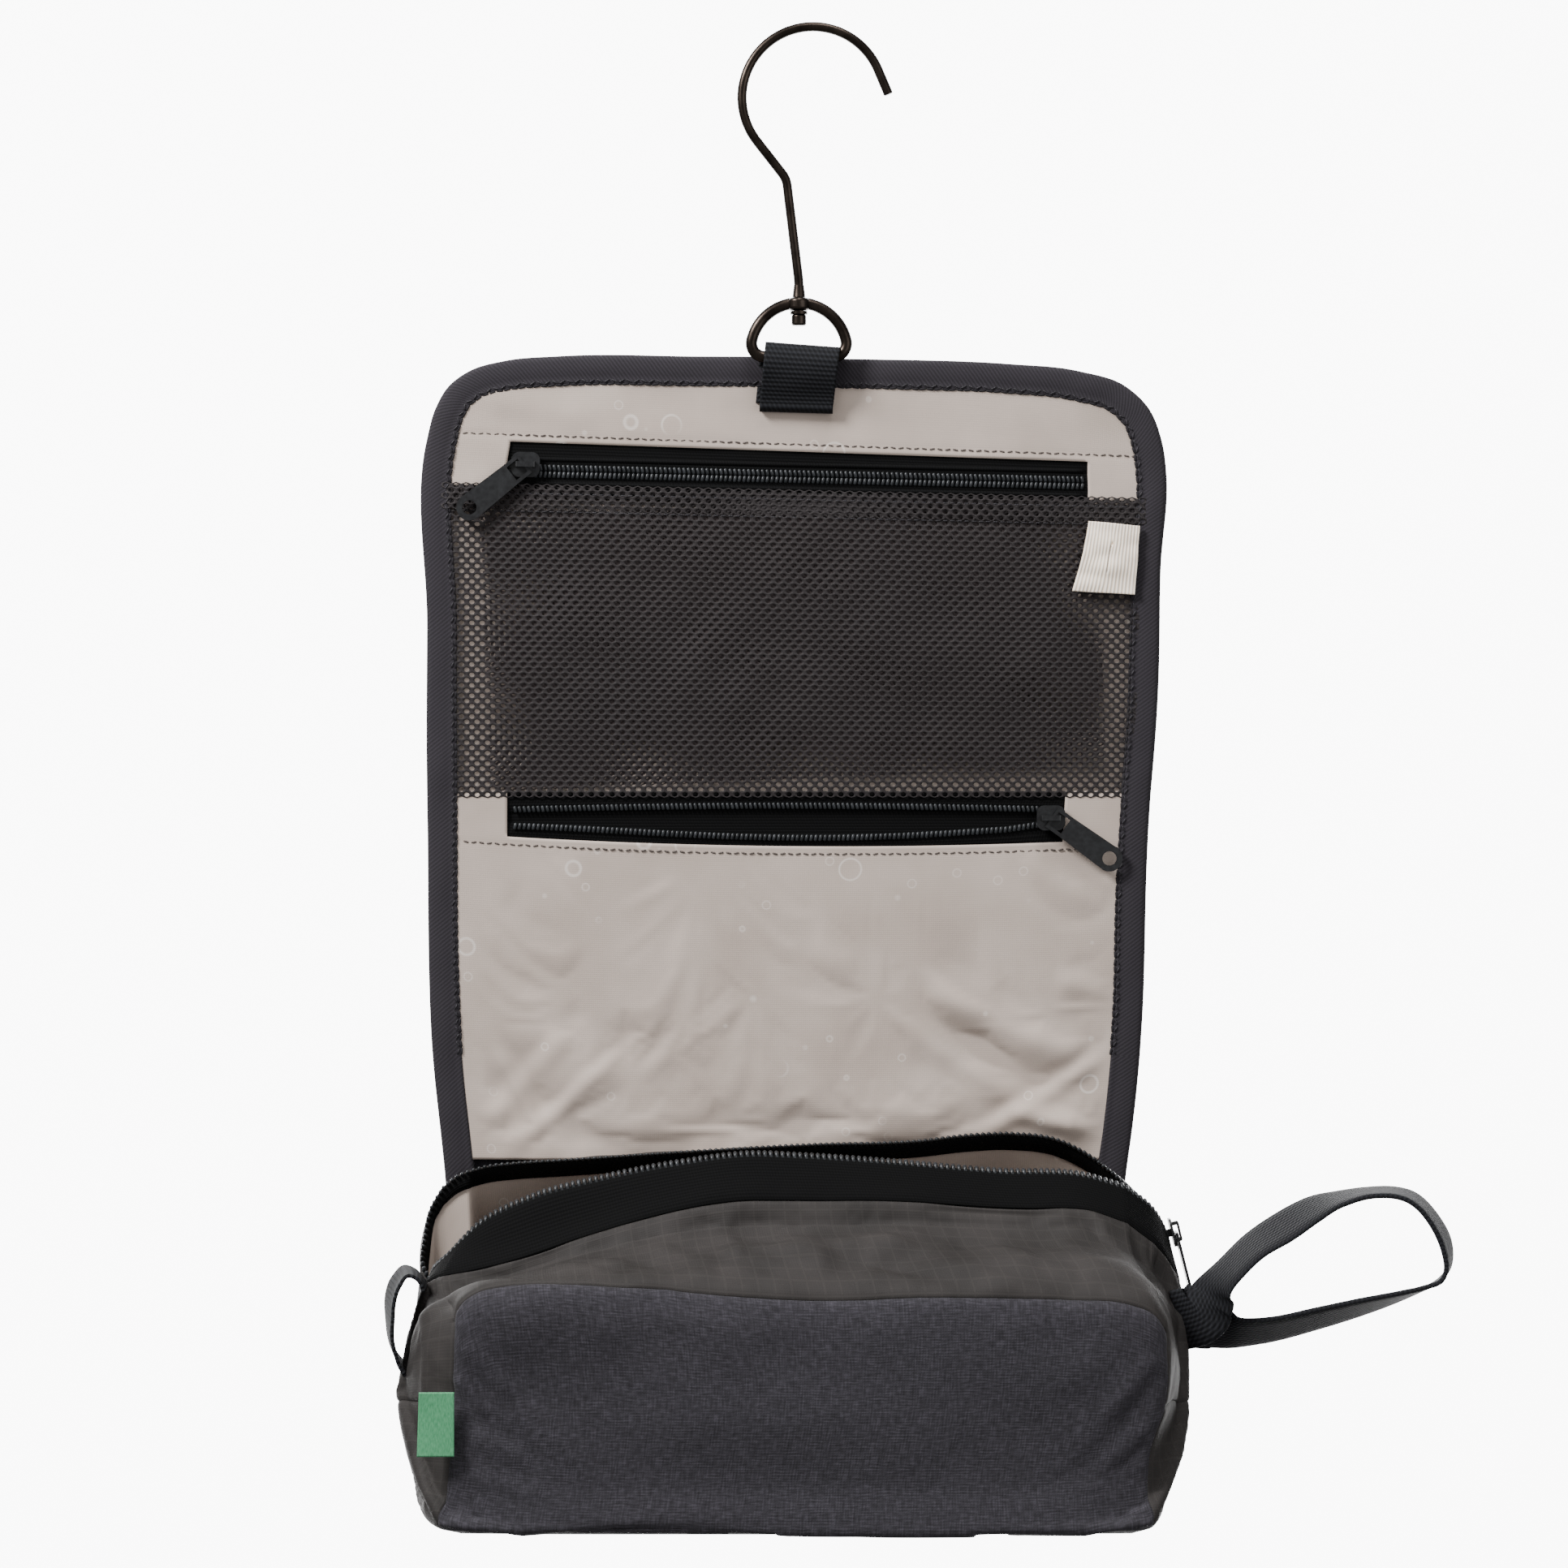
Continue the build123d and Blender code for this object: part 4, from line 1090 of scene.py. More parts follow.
# ---------- pouch ----------
pouch = {
    "sideColumns": 54,     # columns of the shell from the zip's foot to the front panel's seam
    "frontColumns": 200,
    "rows": (12, 42, 36, 28, 20, 8),   # rows between the control curves, from the rim to the base
    "sag": 1.0,            # how strongly the cloth is wrinkled
    "gussetGrowth": 0.075,  # how much too large the thin side cloth is for its frame
    "panelGrowth": 0.016,
    "limit": 4.5,          # the furthest any point may settle, mm
    "cloth": 0.7,          # thickness of the shell's cloth, mm
    "lining": 1.4,         # the lining lies this far inside the shell, mm
    # creases as (X, Z) of both ends, width and depth, mm
    "panelCreases": [
        (-114, -424, -96, -446, 2.6, 0.9), (-116, -436, -104, -452, 2.4, 0.8),
        (-114, -456, -90, -466, 3.2, 0.7),
        (-117, -470, -82, -476, 3.0, 0.6), (112, -430, 92, -452, 3.4, 0.7), (110, -452, 88, -470, 3.4, 0.6),
        (108, -474, 60, -480, 4.0, 0.5), (-60, -414, -10, -424, 5.0, 0.5), (10, -420, 60, -418, 5.0, 0.4)],
    "topCreases": [
        (-88, -404, -54, -399, 3.6, 1.5), (-54, -400, -30, -406, 3.2, 1.3), (-34, -392, -22, -404, 2.6, 1.4),
        (-18, -394, 8, -405, 3.4, 1.6), (14, -402, 40, -394, 3.2, 1.2), (46, -396, 74, -404, 3.6, 1.3),
        (78, -400, 100, -396, 3.0, 1.0), (84, -408, 108, -404, 3.0, 1.1), (-106, -405, -96, -408, 2.6, 0.8)],
}


def controlCurve(firstRun, lastRun, *points):
    # a curve from left to right; its middle run lies between the points numbered firstRun and lastRun,
    # and the points of each run are spread evenly over its own number of columns
    points = np.array(points, dtype=float)
    ends = pouch["sideColumns"] + 1
    a = curveThrough(points[:firstRun + 1], ends)[:-1]
    b = curveThrough(points[firstRun:lastRun + 1], pouch["frontColumns"] + 1)
    c = curveThrough(points[lastRun:], ends)[1:]
    return np.vstack([a, b, c])


def loft(curves, rows):
    # every column runs smoothly down through the control curves
    stack = np.stack(curves)
    stack = np.concatenate([2 * stack[:1] - stack[1:2], stack, 2 * stack[-1:] - stack[-2:-1]])
    return hermiteSpans(stack, rows)


frontCurves = [
    # rim, where the front row of the zip runs
    controlCurve(3, 13, (-127.0, -20, -418), (-125.2, -24, -413), (-120.2, -27.5, -408),
                 (-116.0, -29, -403.5), (-109.5, -30, -397.5), (-93.2, -31, -389.2), (-68.7, -31, -382.5),
                 (-44.1, -31, -377.7), (-19.8, -31, -374.8), (-6, -31, -375.3), (23.4, -31, -377.2),
                 (61, -31, -380.4), (89, -31, -381.7), (102.1, -30.5, -385.5), (111.4, -28, -392.9),
                 (116.6, -24, -402.3), (118.6, -20, -413)),
    # lower edge of the black zip tape
    controlCurve(3, 13, (-128.5, -19, -427), (-128.6, -26, -421), (-126.5, -34, -416),
                 (-121.0, -38.5, -413.5), (-112, -39.5, -411.9), (-101.1, -40, -409.4),
                 (-76.6, -40, -401.6), (-52.2, -40, -394.2), (-27.8, -40, -389.4), (-6, -40, -388.9),
                 (41.8, -40, -389.9), (70, -40, -391.6), (88.6, -40, -392.0), (102.4, -39.5, -396),
                 (112.5, -37, -404), (119.5, -30, -415), (121.4, -19.5, -424)),
    # the front panel's upper seam, carried on round both corners
    controlCurve(4, 14, (-132.0, -17, -441), (-133.6, -32, -437), (-132.6, -46, -431), (-127, -62, -425),
                 (-116.4, -75.5, -420.5), (-115.0, -76.8, -415.6), (-109.5, -77.3, -410.9),
                 (-98.6, -77.6, -408.6), (-59, -78, -410.2), (-6.1, -78, -414.5), (40.4, -78, -413.8),
                 (80, -78, -414.2), (101, -77.5, -415.2), (109.6, -76.8, -418.6), (113.6, -75.6, -424.4),
                 (118.6, -60, -428), (121.6, -46, -433), (122.4, -32, -438), (121.2, -17, -441)),
    # belly
    controlCurve(4, 9, (-133.6, -17, -456), (-136.0, -34, -454), (-135.0, -48, -452), (-128.5, -63, -450),
                 (-116.6, -77.5, -449), (-90, -79.5, -449), (-40, -81, -449), (20, -81, -449),
                 (70, -80, -449), (113.2, -77.0, -449), (118.4, -62, -450), (120.4, -48, -452),
                 (120.0, -33, -454), (117.6, -17, -456)),
    # below the belly
    controlCurve(4, 9, (-130.6, -17, -474), (-132.4, -34, -474), (-131.4, -48, -473), (-127.0, -63, -472),
                 (-118.4, -77.6, -471), (-90, -79, -472), (-40, -80, -472), (20, -80, -472),
                 (70, -79, -472), (108.8, -77.2, -471), (112.6, -62, -472), (114.0, -48, -473),
                 (114.0, -33, -474), (112.6, -17, -474)),
    # just above the base
    controlCurve(4, 9, (-124.6, -17, -489), (-125.6, -34, -489.5), (-125.4, -48, -489.5),
                 (-123.4, -63, -489), (-119.6, -76.2, -488.6), (-90, -77.4, -489.4), (-40, -78, -489.6),
                 (20, -78, -489.6), (70, -77.4, -489.4), (107.8, -76.0, -488.8), (108.8, -62, -489),
                 (108.6, -48, -489.5), (108.0, -33, -489.5), (107.0, -17, -489)),
    # under the base
    controlCurve(4, 9, (-118, -17, -491.6), (-119, -34, -491.8), (-119, -48, -491.8), (-117, -60, -491.8),
                 (-113, -69.5, -491.8), (-90, -71, -491.8), (-40, -71.5, -491.8), (20, -71.5, -491.8),
                 (70, -71, -491.8), (101.5, -69.5, -491.8), (102.6, -60, -491.8), (102.4, -48, -491.8),
                 (102, -33, -491.8), (101, -17, -491.6))]
frontShell = loft(frontCurves, pouch["rows"])
rearCurves = [
    # rim, where the rear row of the zip runs
    controlCurve(4, 16, (-127.0, -20, -418), (-129.6, -17, -413), (-129.2, -14, -404),
                 (-127.2, -11.5, -394.6), (-123.5, -10.5, -388), (-119.3, -10, -384.4),
                 (-110.9, -10, -381.2), (-98.5, -10, -379.5), (-86, -10, -378.7), (-40, -10, -375.6),
                 (0, -10, -373.4), (35.2, -10, -372.2), (52.3, -10, -370.3), (66.6, -10, -369.8),
                 (81, -10, -371.7), (90.4, -10, -376), (99.9, -10.5, -382.8), (105.6, -11.5, -387.9),
                 (112, -14, -395), (117, -17, -404), (118.6, -20, -413)),
    # foot of the rear strip
    controlCurve(4, 16, (-128.5, -19, -427), (-129.8, -13, -420), (-130.2, -6, -412), (-129.2, -1, -403),
                 (-126.5, 2.6, -395), (-121.5, 2.9, -388.5), (-112, 3.0, -384.2), (-98.5, 3.1, -382),
                 (-86, 3.2, -381), (-40, 3.2, -378), (0, 3.2, -376), (35, 3.2, -375), (52, 3.2, -374),
                 (66.6, 3.2, -374), (81, 3.2, -375.5), (93, 3.0, -380), (102.6, 2.6, -387),
                 (109, -1, -393.5), (115, -6, -402), (119, -13, -414), (121.4, -19.5, -424)),
    # below the strip
    controlCurve(4, 10, (-132.0, -17, -441), (-132.2, -10, -434), (-131.6, -2, -425), (-129.0, 4, -412),
                 (-127.2, 5.6, -402), (-112, 7, -398), (-60, 7, -396), (0, 7, -394), (60, 7, -394),
                 (92, 7, -396), (103.6, 5.6, -402), (108, 4, -412), (113.6, -2, -424), (118.6, -10, -434),
                 (121.2, -17, -441)),
    # belly
    controlCurve(3, 9, (-133.6, -17, -456), (-133.2, -8, -454), (-131.2, 0, -450), (-128.2, 5, -446),
                 (-112, 7, -446), (-60, 7.2, -446), (0, 7.4, -446), (60, 7.2, -446), (92, 7, -446),
                 (107.6, 5, -446), (111.6, 0, -450), (115.4, -8, -454), (117.6, -17, -456)),
    # below the belly
    controlCurve(3, 9, (-130.6, -17, -474), (-130.2, -8, -473), (-128.6, 0, -472), (-126.2, 5, -470),
                 (-112, 6.6, -470), (-60, 7, -470), (0, 7, -470), (60, 7, -470), (92, 6.6, -470),
                 (106.8, 5, -470), (109.6, 0, -472), (111.6, -8, -473), (112.6, -17, -474)),
    # just above the base
    controlCurve(3, 9, (-124.6, -17, -489), (-124.4, -8, -488.8), (-123.6, 0, -488.4), (-122.2, 4.6, -488),
                 (-112, 6.0, -488.6), (-60, 6.2, -489), (0, 6.2, -489), (60, 6.2, -489), (92, 6.0, -488.6),
                 (104.4, 4.6, -488), (105.8, 0, -488.4), (106.6, -8, -488.8), (107.0, -17, -489)),
    # under the base
    controlCurve(3, 9, (-118, -17, -491.6), (-118, -8, -491.7), (-117.4, -2, -491.7), (-116, 0, -491.7),
                 (-106, 0.6, -491.7), (-60, 0.6, -491.7), (0, 0.6, -491.7), (60, 0.6, -491.7),
                 (88, 0.6, -491.7), (99, 0, -491.7), (100, -2, -491.7), (101, -8, -491.7),
                 (101, -17, -491.6))]
rearShell = loft(rearCurves, pouch["rows"])


def outwardNormals(points, towards):
    # unit normals of a shell, turned to the front (-1) or to the rear (1)
    normal = unit(np.cross(np.gradient(points, axis=1), np.gradient(points, axis=0)))
    probeRow, probeColumn = 60, 150
    return normal * towards * np.sign(normal[probeRow, probeColumn, 1])


def shellFade(points, rimRows=6):
    # 0 at every free edge of a shell, rising to 1 a little inside it
    rows, columns = points.shape[:2]
    r = np.arange(rows)[:, None]
    return np.clip(r / rimRows, 0, 1) * np.clip((rows - 1 - r) / 10, 0, 1)


frontNormal = outwardNormals(frontShell, -1)
rearNormal = outwardNormals(rearShell, 1)
rowStarts = np.concatenate([[0], np.cumsum(pouch["rows"])])
bandRow, seamRow, gussetSeam = rowStarts[1:4]
firstSeam, lastSeam = pouch["sideColumns"], pouch["sideColumns"] + pouch["frontColumns"]


def wrinkleFront(points):
    # the sloping top and the sides crumple, the front panel only undulates
    x, y, z = points[..., 0], points[..., 1], points[..., 2]
    along = x + y * 0.55
    down = z + y * 0.8
    rows = np.arange(points.shape[0])[:, None]
    columns = np.arange(points.shape[1])[None, :]
    top = np.exp(-((rows - (bandRow + seamRow) / 2) / 17.0) ** 2) * np.ones_like(x)
    side = 1 - np.clip((columns - 8) / 46, 0, 1) * np.clip((points.shape[1] - 9 - columns) / 46, 0, 1)
    side = side * np.clip((rows - 14) / 20, 0, 1)
    coarse = 1.5 * softNoise(along * 0.75, down * 1.5, 34, 61)
    relief = top * (coarse + 0.5 * softNoise(along, down * 1.3, 15, 62))
    relief += side * (0.8 * softNoise(y + x * 0.4, z * 0.8, 26, 63) + 0.3 * softNoise(y * 1.4 + x, z, 12, 64))
    panel = np.clip((rows - seamRow - 3) / 14, 0, 1)
    swell = 0.5 * softNoise(x * 0.6, z * 1.1, 55, 65) + 0.14 * softNoise(x, z, 24, 66)
    relief += panel * swell * (1 - side)
    for part, creases in ((panel, pouch["panelCreases"]), (top, pouch["topCreases"])):
        for ax, az, bx, bz, width, depth in creases:
            relief += part * depth * ridge(x, z, ax, az, bx, bz, width)
    return relief


wrinkles = wrinkleFront(frontShell) * shellFade(frontShell) * pouch["sag"]
frontShell = frontShell + frontNormal * wrinkles[..., None]
rowIndex = np.arange(frontShell.shape[0])[:, None]
columnIndex = np.arange(frontShell.shape[1])[None, :]
held = np.zeros(frontShell.shape[:2])
held[:bandRow // 2 + 1] = 1
held[bandRow // 2 + 1:bandRow + 1] = 0.6
held[-10:] = 1
held[:, :2] = held[:, -2:] = 1
panelPart = ((rowIndex >= seamRow) & (columnIndex >= firstSeam) & (columnIndex <= lastSeam)).astype(float)
onSeam = (np.abs(rowIndex - seamRow) < 2) & (columnIndex >= firstSeam) & (columnIndex <= lastSeam)
nearSide = (np.abs(columnIndex - firstSeam) < 2) | (np.abs(columnIndex - lastSeam) < 2)
onSeam |= (rowIndex >= seamRow) & nearSide
held = np.maximum(held, onSeam * 0.12)
more = (1 - panelPart) * pouch["gussetGrowth"] + panelPart * pouch["panelGrowth"]
frontShell = settleCloth(frontShell, held, more, pouch["limit"])
frontNormal = outwardNormals(frontShell, -1)
# the seams draw the cloth in along the front panel's edges and under the tape
inPanelRows = (rowIndex >= seamRow).astype(float)
inPanelColumns = ((columnIndex >= firstSeam) & (columnIndex <= lastSeam)).astype(float)
groove = np.exp(-((rowIndex - seamRow) / 1.3) ** 2) * inPanelColumns
sideGroove = np.exp(-((columnIndex - firstSeam) / 1.2) ** 2) + np.exp(-((columnIndex - lastSeam) / 1.2) ** 2)
groove += inPanelRows * sideGroove
groove += np.exp(-((rowIndex - bandRow) / 1.1) ** 2) * 0.8
sideOnly = 1 - ((columnIndex > firstSeam - 1) & (columnIndex < lastSeam + 1)).astype(float)
groove += np.exp(-((rowIndex - gussetSeam) / 1.2) ** 2) * sideOnly * 0.8
frontShell = frontShell - frontNormal * (groove * 0.75 * shellFade(frontShell, 3))[..., None]
rx, rz = rearShell[..., 0], rearShell[..., 2]
rearRelief = 0.7 * softNoise(rx * 0.7, rz, 50, 71) + 0.3 * softNoise(rx, rz, 20, 72)
rearShell = rearShell + rearNormal * (rearRelief * 0.6 * shellFade(rearShell))[..., None]


# both halves share their end columns: the rear half is drawn onto the front one over a few columns
fromEnd = np.arange(rearShell.shape[1])
for end, away in ((0, fromEnd), (-1, fromEnd[::-1])):
    gap = frontShell[:, end] - rearShell[:, end]
    rearShell = rearShell + gap[:, None] * np.exp(-(away / 6.0) ** 2)[None, :, None]


lastColumn = frontShell.shape[1] - 1
lastRow = frontShell.shape[0] - 1
melangeCloth = (melange, "shell_melange")
ripstopCloth = (ripstop, "gusset_ripstop")
turned = rearShell[:, ::-1]
parts = [
    ("frontPanel", frontShell, (seamRow, lastRow), (firstSeam, lastSeam), melangeCloth, "front_panel"),
    ("topGusset", frontShell, (bandRow, seamRow), (firstSeam - 1, lastSeam + 1), ripstopCloth, "top_gusset"),
    ("leftGussetUpper", frontShell, (bandRow, gussetSeam), (0, firstSeam), ripstopCloth,
     "side_gusset_left_upper"),
    ("leftGussetLower", frontShell, (gussetSeam, lastRow), (0, firstSeam), ripstopCloth,
     "side_gusset_left_lower"),
    ("rightGussetUpper", frontShell, (bandRow, gussetSeam), (lastSeam, lastColumn), ripstopCloth,
     "side_gusset_right_upper"),
    ("rightGussetLower", frontShell, (gussetSeam, lastRow), (lastSeam, lastColumn), ripstopCloth,
     "side_gusset_right_lower"),
    ("frontZipTape", frontShell, (0, bandRow), (0, lastColumn), (zipTape, "zip_tape"), "main_zip_tape_front"),
    ("rearStrip", turned, (0, bandRow), (0, lastColumn), ripstopCloth, "rear_top_strip"),
    ("backPanel", turned, (bandRow, lastRow), (0, lastColumn), melangeCloth, "back_panel"),
]
for name, points, rows, columns, (material, slotName), node in parts:
    part = points[rows[0]:rows[1] + 1, columns[0]:columns[1] + 1]
    piece = gridPiece(name, part * mm, material, thickness=pouch["cloth"] * mm)
    finishPiece(piece, "pouch", slotName, node)


def ringsInto(ring, middle, last, count):
    # the rings of a flat panel, drawn in from its edge towards a middle point
    return np.stack([ring * (1 - s) + np.array(middle) * s for s in np.linspace(0, last, count)])


# base: one flat panel closed by the shells' lowest rows
baseRing = np.vstack([frontShell[-1], rearShell[-1][::-1][1:-1]])
rings = ringsInto(baseRing, (-8, -35, -491.4), 0.995, 12)
base = gridPiece("basePanel", rings[:, ::-1] * mm, ripstop, closedColumns=True)
finishPiece(base, "pouch", "gusset_ripstop", "base_panel")
print("pouch shell made")


# ---------- inside of the pouch ----------
def insideOf(points, normal, depth):
    inner = points - normal * depth
    inner[..., 2] = np.maximum(inner[..., 2], -490.6)
    return inner


innerFront = insideOf(frontShell, frontNormal, pouch["lining"])[bandRow - 4:-12]
liningFront = gridPiece("pouchLiningFront", innerFront[:, ::-1] * mm, taffeta)
finishPiece(liningFront, "pouch", "lining_taffeta", "pouch_lining")
# behind the rear zip tape the lining drops straight down from the rim
rim = rearShell[0] + np.array([0, 0.6, 0])
dropRows = []
for share in np.linspace(0, 1, 40):
    depth = 98 * share
    z = np.maximum(rim[:, 2] - depth, -490.2)
    narrow = np.clip(depth / 40, 0, 1)
    x = rim[:, 0] * (1 - 0.02 * narrow)
    right = np.interp(z, [-490, -474, -456, -441, -425], [103.0, 108.5, 113.5, 117.0, 120.0])
    left = np.interp(z, [-490, -474, -456, -441, -425], [-120.5, -126.5, -129.0, -127.5, -126.0])
    x = x + (np.clip(x, left, right) - x) * np.clip(depth / 12, 0, 1)
    y = rim[:, 1] + (4.6 - rim[:, 1]) * np.clip(depth / 22, 0, 1) ** 0.8 * (np.abs(rim[:, 0] + 6) < 108)
    y = y + 0.5 * softNoise(rim[:, 0] * 0.7, z * 1.2, 40, 81) * narrow
    dropRows.append(np.stack([x, np.minimum(y, 4.8), z], axis=1))
dropRows = np.stack(dropRows)
tapeRows = 2
rearTape = gridPiece("rearZipTape", (dropRows[:tapeRows + 1] - [0, 0.25, 0]) * mm, zipTape,
                     thickness=0.4 * mm)
finishPiece(rearTape, "pouch", "zip_tape", "main_zip_tape_rear")
liningRear = gridPiece("pouchLiningRear", dropRows[tapeRows - 1:] * mm, taffeta)
finishPiece(liningRear, "pouch", "lining_taffeta")
floorRing = np.vstack([innerFront[-1], dropRows[-1][::-1]])
floorRings = ringsInto(floorRing, (-8, -35, -490.0), 0.99, 6)
floor = gridPiece("pouchLiningFloor", floorRings * mm, taffeta, closedColumns=True)
finishPiece(floor, "pouch", "lining_taffeta")

# the zip's two rows of coil, open, along both rims
for name, shell, node in (("mainCoilFront", frontShell, "main_zip_coil_front"),
                          ("mainCoilRear", rearShell, "main_zip_coil_rear")):
    path = (shell[0] + np.array([0, 0, 0.5])) * mm
    downward = unit(shell[2] - shell[0])
    coil = coilRow(name, path, downward, (0, -1.0, 0.25), 1.25)
    finishPiece(coil, "pouch", "zip_coil", node)
print("pouch inside made")


# ---------- seams of the pouch ----------
def lineOn(shell, normal, rows, columns, lift):
    # points along a row or a column of a shell, lifted off it
    return (shell[rows, columns] + normal[rows, columns] * lift) * mm, normal[rows, columns]


def pipe(name, path, normal, radius, material):
    # a thin turned edge of cloth along a seam: a flat oval tube
    tangent = frames(path)
    side = unit(np.cross(tangent, normal))
    angle = np.linspace(0, 2 * math.pi, 8, endpoint=False)
    ring = (np.cos(angle)[None, :, None] * side[:, None] * radius
            + np.sin(angle)[None, :, None] * normal[:, None] * radius * 0.6)
    return gridPiece(name, path[:, None] + ring, material, closedColumns=True)


columnsAll = np.arange(firstSeam, lastSeam + 1)
path, normal = lineOn(frontShell, frontNormal, seamRow, columnsAll, 0.35)
finishPiece(pipe("panelSeamTop", path, normal, 0.55 * mm, melange), "pouch", "shell_melange")
rowsAll = np.arange(seamRow, lastRow - 6)
for name, column in (("panelSeamLeft", firstSeam), ("panelSeamRight", lastSeam)):
    path, normal = lineOn(frontShell, frontNormal, rowsAll, column, 0.35)
    finishPiece(pipe(name, path, normal, 0.55 * mm, melange), "pouch", "shell_melange")
path, normal = lineOn(frontShell, frontNormal, bandRow + 1, np.arange(2, lastColumn - 1), 0.25)
stitches = stitchRow("bandStitches", path, normal, darkThread, 2.6 * mm, 0.68, 0.42 * mm)
finishPiece(stitches, "pouch", "zip_tape")
path, normal = lineOn(frontShell, frontNormal, bandRow - 5, np.arange(2, lastColumn - 1), 0.2)
ribLine = pipe("tapeRib", path, normal, 0.7 * mm, zipTape)
finishPiece(ribLine, "pouch", "zip_tape")
for name, columns in (("gussetStitchesLeft", np.arange(2, firstSeam - 1)),
                      ("gussetStitchesRight", np.arange(lastSeam + 2, lastColumn - 1))):
    path, normal = lineOn(frontShell, frontNormal, gussetSeam - 2, columns, 0.15)
    stitches = stitchRow(name, path, normal, darkThread, 2.6 * mm, 0.68, 0.4 * mm)
    finishPiece(stitches, "pouch", "gusset_ripstop")

# ---------- side loop, label and wrist strap ----------
sideLoop = {"curve": [(-127.6, -417.5), (-130.0, -413.6), (-132.4, -412.6), (-134.8, -415.4),
                      (-136.6, -421.5), (-137.2, -428.0), (-136.6, -435.0), (-134.8, -441.0),
                      (-132.6, -444.5)],
            "front": -46.5, "width": 18.0}
line = curveThrough(np.array(sideLoop["curve"], dtype=float), 70)
v = np.linspace(0, 1, 22)[None, :]
x = line[:, 0:1] + 0 * v
z = line[:, 1:2] + 1.2 * (v - 0.5)
y = sideLoop["front"] + sideLoop["width"] * v + 0 * x
flare = np.sin(np.linspace(0, 1, 70) * math.pi)[:, None] ** 0.6
x = x - 3.8 * (v - 0.2) * flare + 0.25 * softNoise(y, z * 1.5, 20, 91)
loop = gridPiece("sideLoop", pointsAt(x, y, z)[:, ::-1], webbing, thickness=1.2 * mm)
finishPiece(loop, "pouch", "black_webbing", "side_loop_left")

label = {"x": (-125.8, -114.6), "z": (-446.0, -466.5), "y": -79.3}
u = np.linspace(0, 1, 30)[None, :]
v = np.linspace(0, 1, 40)[:, None]
x = label["x"][0] * (1 - u) + label["x"][1] * u + 0 * v - 0.6 * v * (1 - u)
z = label["z"][0] * (1 - v) + label["z"][1] * v + 0 * u
y = label["y"] + 0.5 * (1 - u) ** 2 * np.sin(v * math.pi) + 0.5 * u
labelPiece = gridPiece("sideLabel", pointsAt(x, y, z), labelSatin, thickness=0.45 * mm)
finishPiece(labelPiece, "pouch", "label_green", "side_label")

strap = {
    "width": 20.0, "thickness": 1.6, "y": -38.0,
    # centre line as (X, Z, Y shift, twist in degrees): the twist turns the band's width from upright to
    # front-to-back
    "line": [(119.5, -428.0, 0, 2), (124.5, -426.4, -2.4, 12), (129.0, -421.0, -3.8, 40),
             (135.3, -411.6, -3.8, 72), (143.6, -403.6, -3.0, 72), (153.5, -397.4, -2, 69),
             (163.0, -391.8, -1, 74), (172.2, -388.3, 0, 84), (181.5, -386.4, 0.5, 88),
             (190.6, -386.5, 1.0, 86), (198.0, -389.6, 1.0, 80), (203.2, -395.6, 1.0, 77),
             (207.3, -404.3, 1.0, 75), (207.6, -411.0, 1.0, 78), (204.6, -415.6, 1.0, 82),
             (199.0, -418.0, 1, 80), (191.1, -420.6, 1, 75), (178.0, -424.2, 1, 68),
             (165.2, -427.6, 1.5, 64), (149.4, -431.4, 2.0, 61), (141.0, -432.4, 2.6, 58),
             (132.0, -430.8, 2.8, 40), (124.5, -428.2, 2.4, 12), (119.5, -427.0, 1.6, 2)]}
data = np.array(strap["line"], dtype=float)
dense = curveThrough(data, 260)
centre = np.stack([dense[:, 0], strap["y"] + dense[:, 2], dense[:, 1]], axis=1)
tangent = frames(centre)
sideways = np.array([0.0, 1.0, 0.0])
inwardTurn = np.unwrap(np.arctan2(tangent[:, 2], tangent[:, 0]))
upright = np.stack([-np.sin(inwardTurn), 0 * inwardTurn, np.cos(inwardTurn)], axis=1)
twist = np.radians(dense[:, 3])[:, None]
across = upright * np.cos(twist) + sideways * np.sin(twist)
outwardStrap = unit(np.cross(tangent, across))
half, thick = strap["width"] / 2, strap["thickness"] / 2
section = np.array([(-1, 0), (-0.99, 0.7), (-0.95, 1), (-0.6, 1), (-0.3, 1), (0, 1), (0.3, 1), (0.6, 1),
                    (0.95, 1), (0.99, 0.7), (1, 0), (0.99, -0.7), (0.95, -1), (0.6, -1), (0.3, -1), (0, -1),
                    (-0.3, -1), (-0.6, -1), (-0.95, -1), (-0.99, -0.7)])
points = (centre[:, None] + across[:, None] * section[None, :, :1] * half
          + outwardStrap[:, None] * section[None, :, 1:] * thick)
along = np.concatenate([[0], np.cumsum(np.linalg.norm(np.diff(centre, axis=0), axis=1))]) * mm
uv = np.stack(np.broadcast_arrays(along[:, None], section[None, :, 0] * half * mm), axis=-1).reshape(-1, 2)
strapPiece = gridPiece("wristStrap", points * mm, webbing, closedColumns=True, uv=uv)
finishPiece(strapPiece, "wrist_strap", "black_webbing", "wrist_strap")
print("straps made")


# ---------- metal parts kept from the CAD ----------
for slotName, material in (("gunmetal", gunmetal), ("zip_metal", zipLacquer)):
    for found in bpy.data.materials:
        if found.name.split(".")[0] == slotName:
            for mesh in bpy.data.meshes:
                for k, current in enumerate(mesh.materials):
                    if current == found:
                        mesh.materials[k] = material


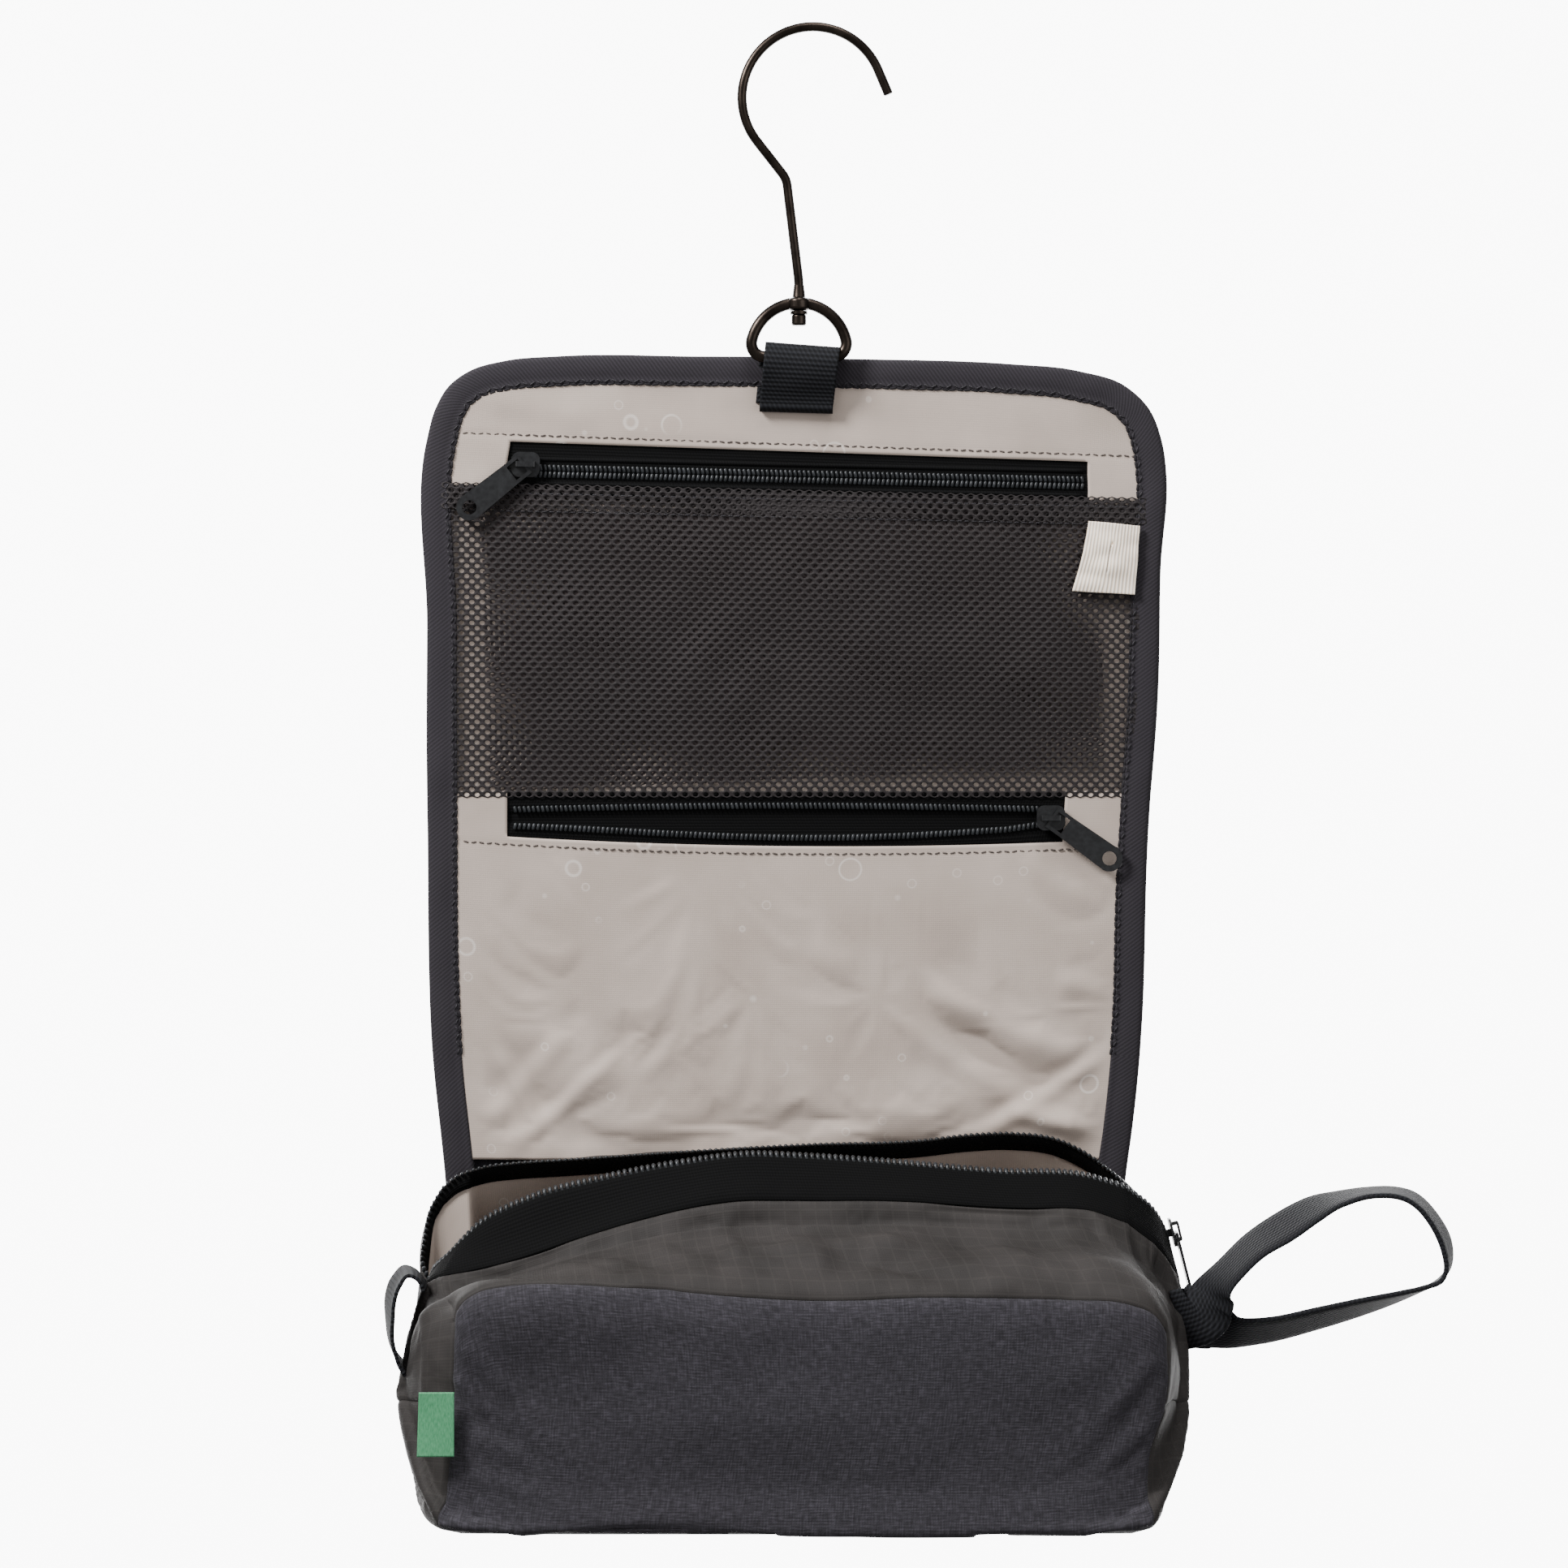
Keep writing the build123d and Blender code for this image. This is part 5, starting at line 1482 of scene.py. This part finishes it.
# ---------- camera, light and backdrop ----------
stage = {
    "paper": ("#f4f4f4", 9.0),     # colour and brightness of the backdrop
    "paperX": 1.2, "paperY": 1.4, "paperZ": (-1.5, 1.0),   # half width, distance behind and heights, m
    "target": (0.0, 0.0, -0.28),   # where the lights point, m
    # place in m, size in m, power in W
    "lights": {"keyLight": ((-0.85, -0.62, 0.62), 0.45, 36), "fillLight": ((1.1, -1.3, 0.0), 1.2, 9),
               "topLight": ((0.1, -0.45, 1.1), 0.6, 14)},
    "world": 0.4,                  # brightness of the room
    "camera": (-0.0097, 0.0043 - 1.5, -0.2526), "lens": 102.3, "sensor": 36,
}


def makeBackdrop():
    # a lit white paper behind the bag, seen from the front only
    colour, brightness = stage["paper"]
    paper, tree, shader = startMaterial("litPaper", Roughness=0.9)
    shader.inputs["Base Color"].default_value = toLinear(colour)
    shader.inputs["Emission Color"].default_value = toLinear("#ffffff")
    shader.inputs["Emission Strength"].default_value = brightness
    clear = addNode(tree, "ShaderNodeBsdfTransparent")
    side = addNode(tree, "ShaderNodeNewGeometry")
    both = addNode(tree, "ShaderNodeMixShader", {
        "Fac": side.outputs["Backfacing"], 1: shader.outputs[0], 2: clear.outputs[0]})
    tree.links.new(both.outputs[0], tree.nodes["Material Output"].inputs["Surface"])
    x, y, (foot, top) = stage["paperX"], stage["paperY"], stage["paperZ"]
    corners = [(-x, y, foot), (x, y, foot), (x, y, top), (-x, y, top)]
    makeObject("backdrop", corners, [(0, 1, 2, 3)], paper)


def areaLight(name, place, size, power):
    data = bpy.data.lights.new(name, "AREA")
    data.shape = "DISK"
    data.size = size
    data.energy = power
    light = bpy.data.objects.new(name, data)
    bpy.context.scene.collection.objects.link(light)
    light.location = place
    direction = Vector(stage["target"]) - Vector(place)
    light.rotation_euler = direction.to_track_quat("-Z", "Y").to_euler()


makeBackdrop()
for name, (place, size, power) in stage["lights"].items():
    areaLight(name, place, size, power)
world = bpy.context.scene.world or bpy.data.worlds.new("softRoom")
bpy.context.scene.world = world
world.use_nodes = True
background = world.node_tree.nodes["Background"]
background.inputs["Color"].default_value = (1.0, 1.0, 1.0, 1.0)
background.inputs["Strength"].default_value = stage["world"]

camera = bpy.data.objects.new("camera", bpy.data.cameras.new("camera"))
bpy.context.scene.collection.objects.link(camera)
camera.location = stage["camera"]
camera.rotation_euler = (math.radians(90), 0, 0)
camera.data.lens = stage["lens"]
camera.data.sensor_width = stage["sensor"]
camera.data.clip_end = 20
bpy.context.scene.camera = camera
print("stage made")
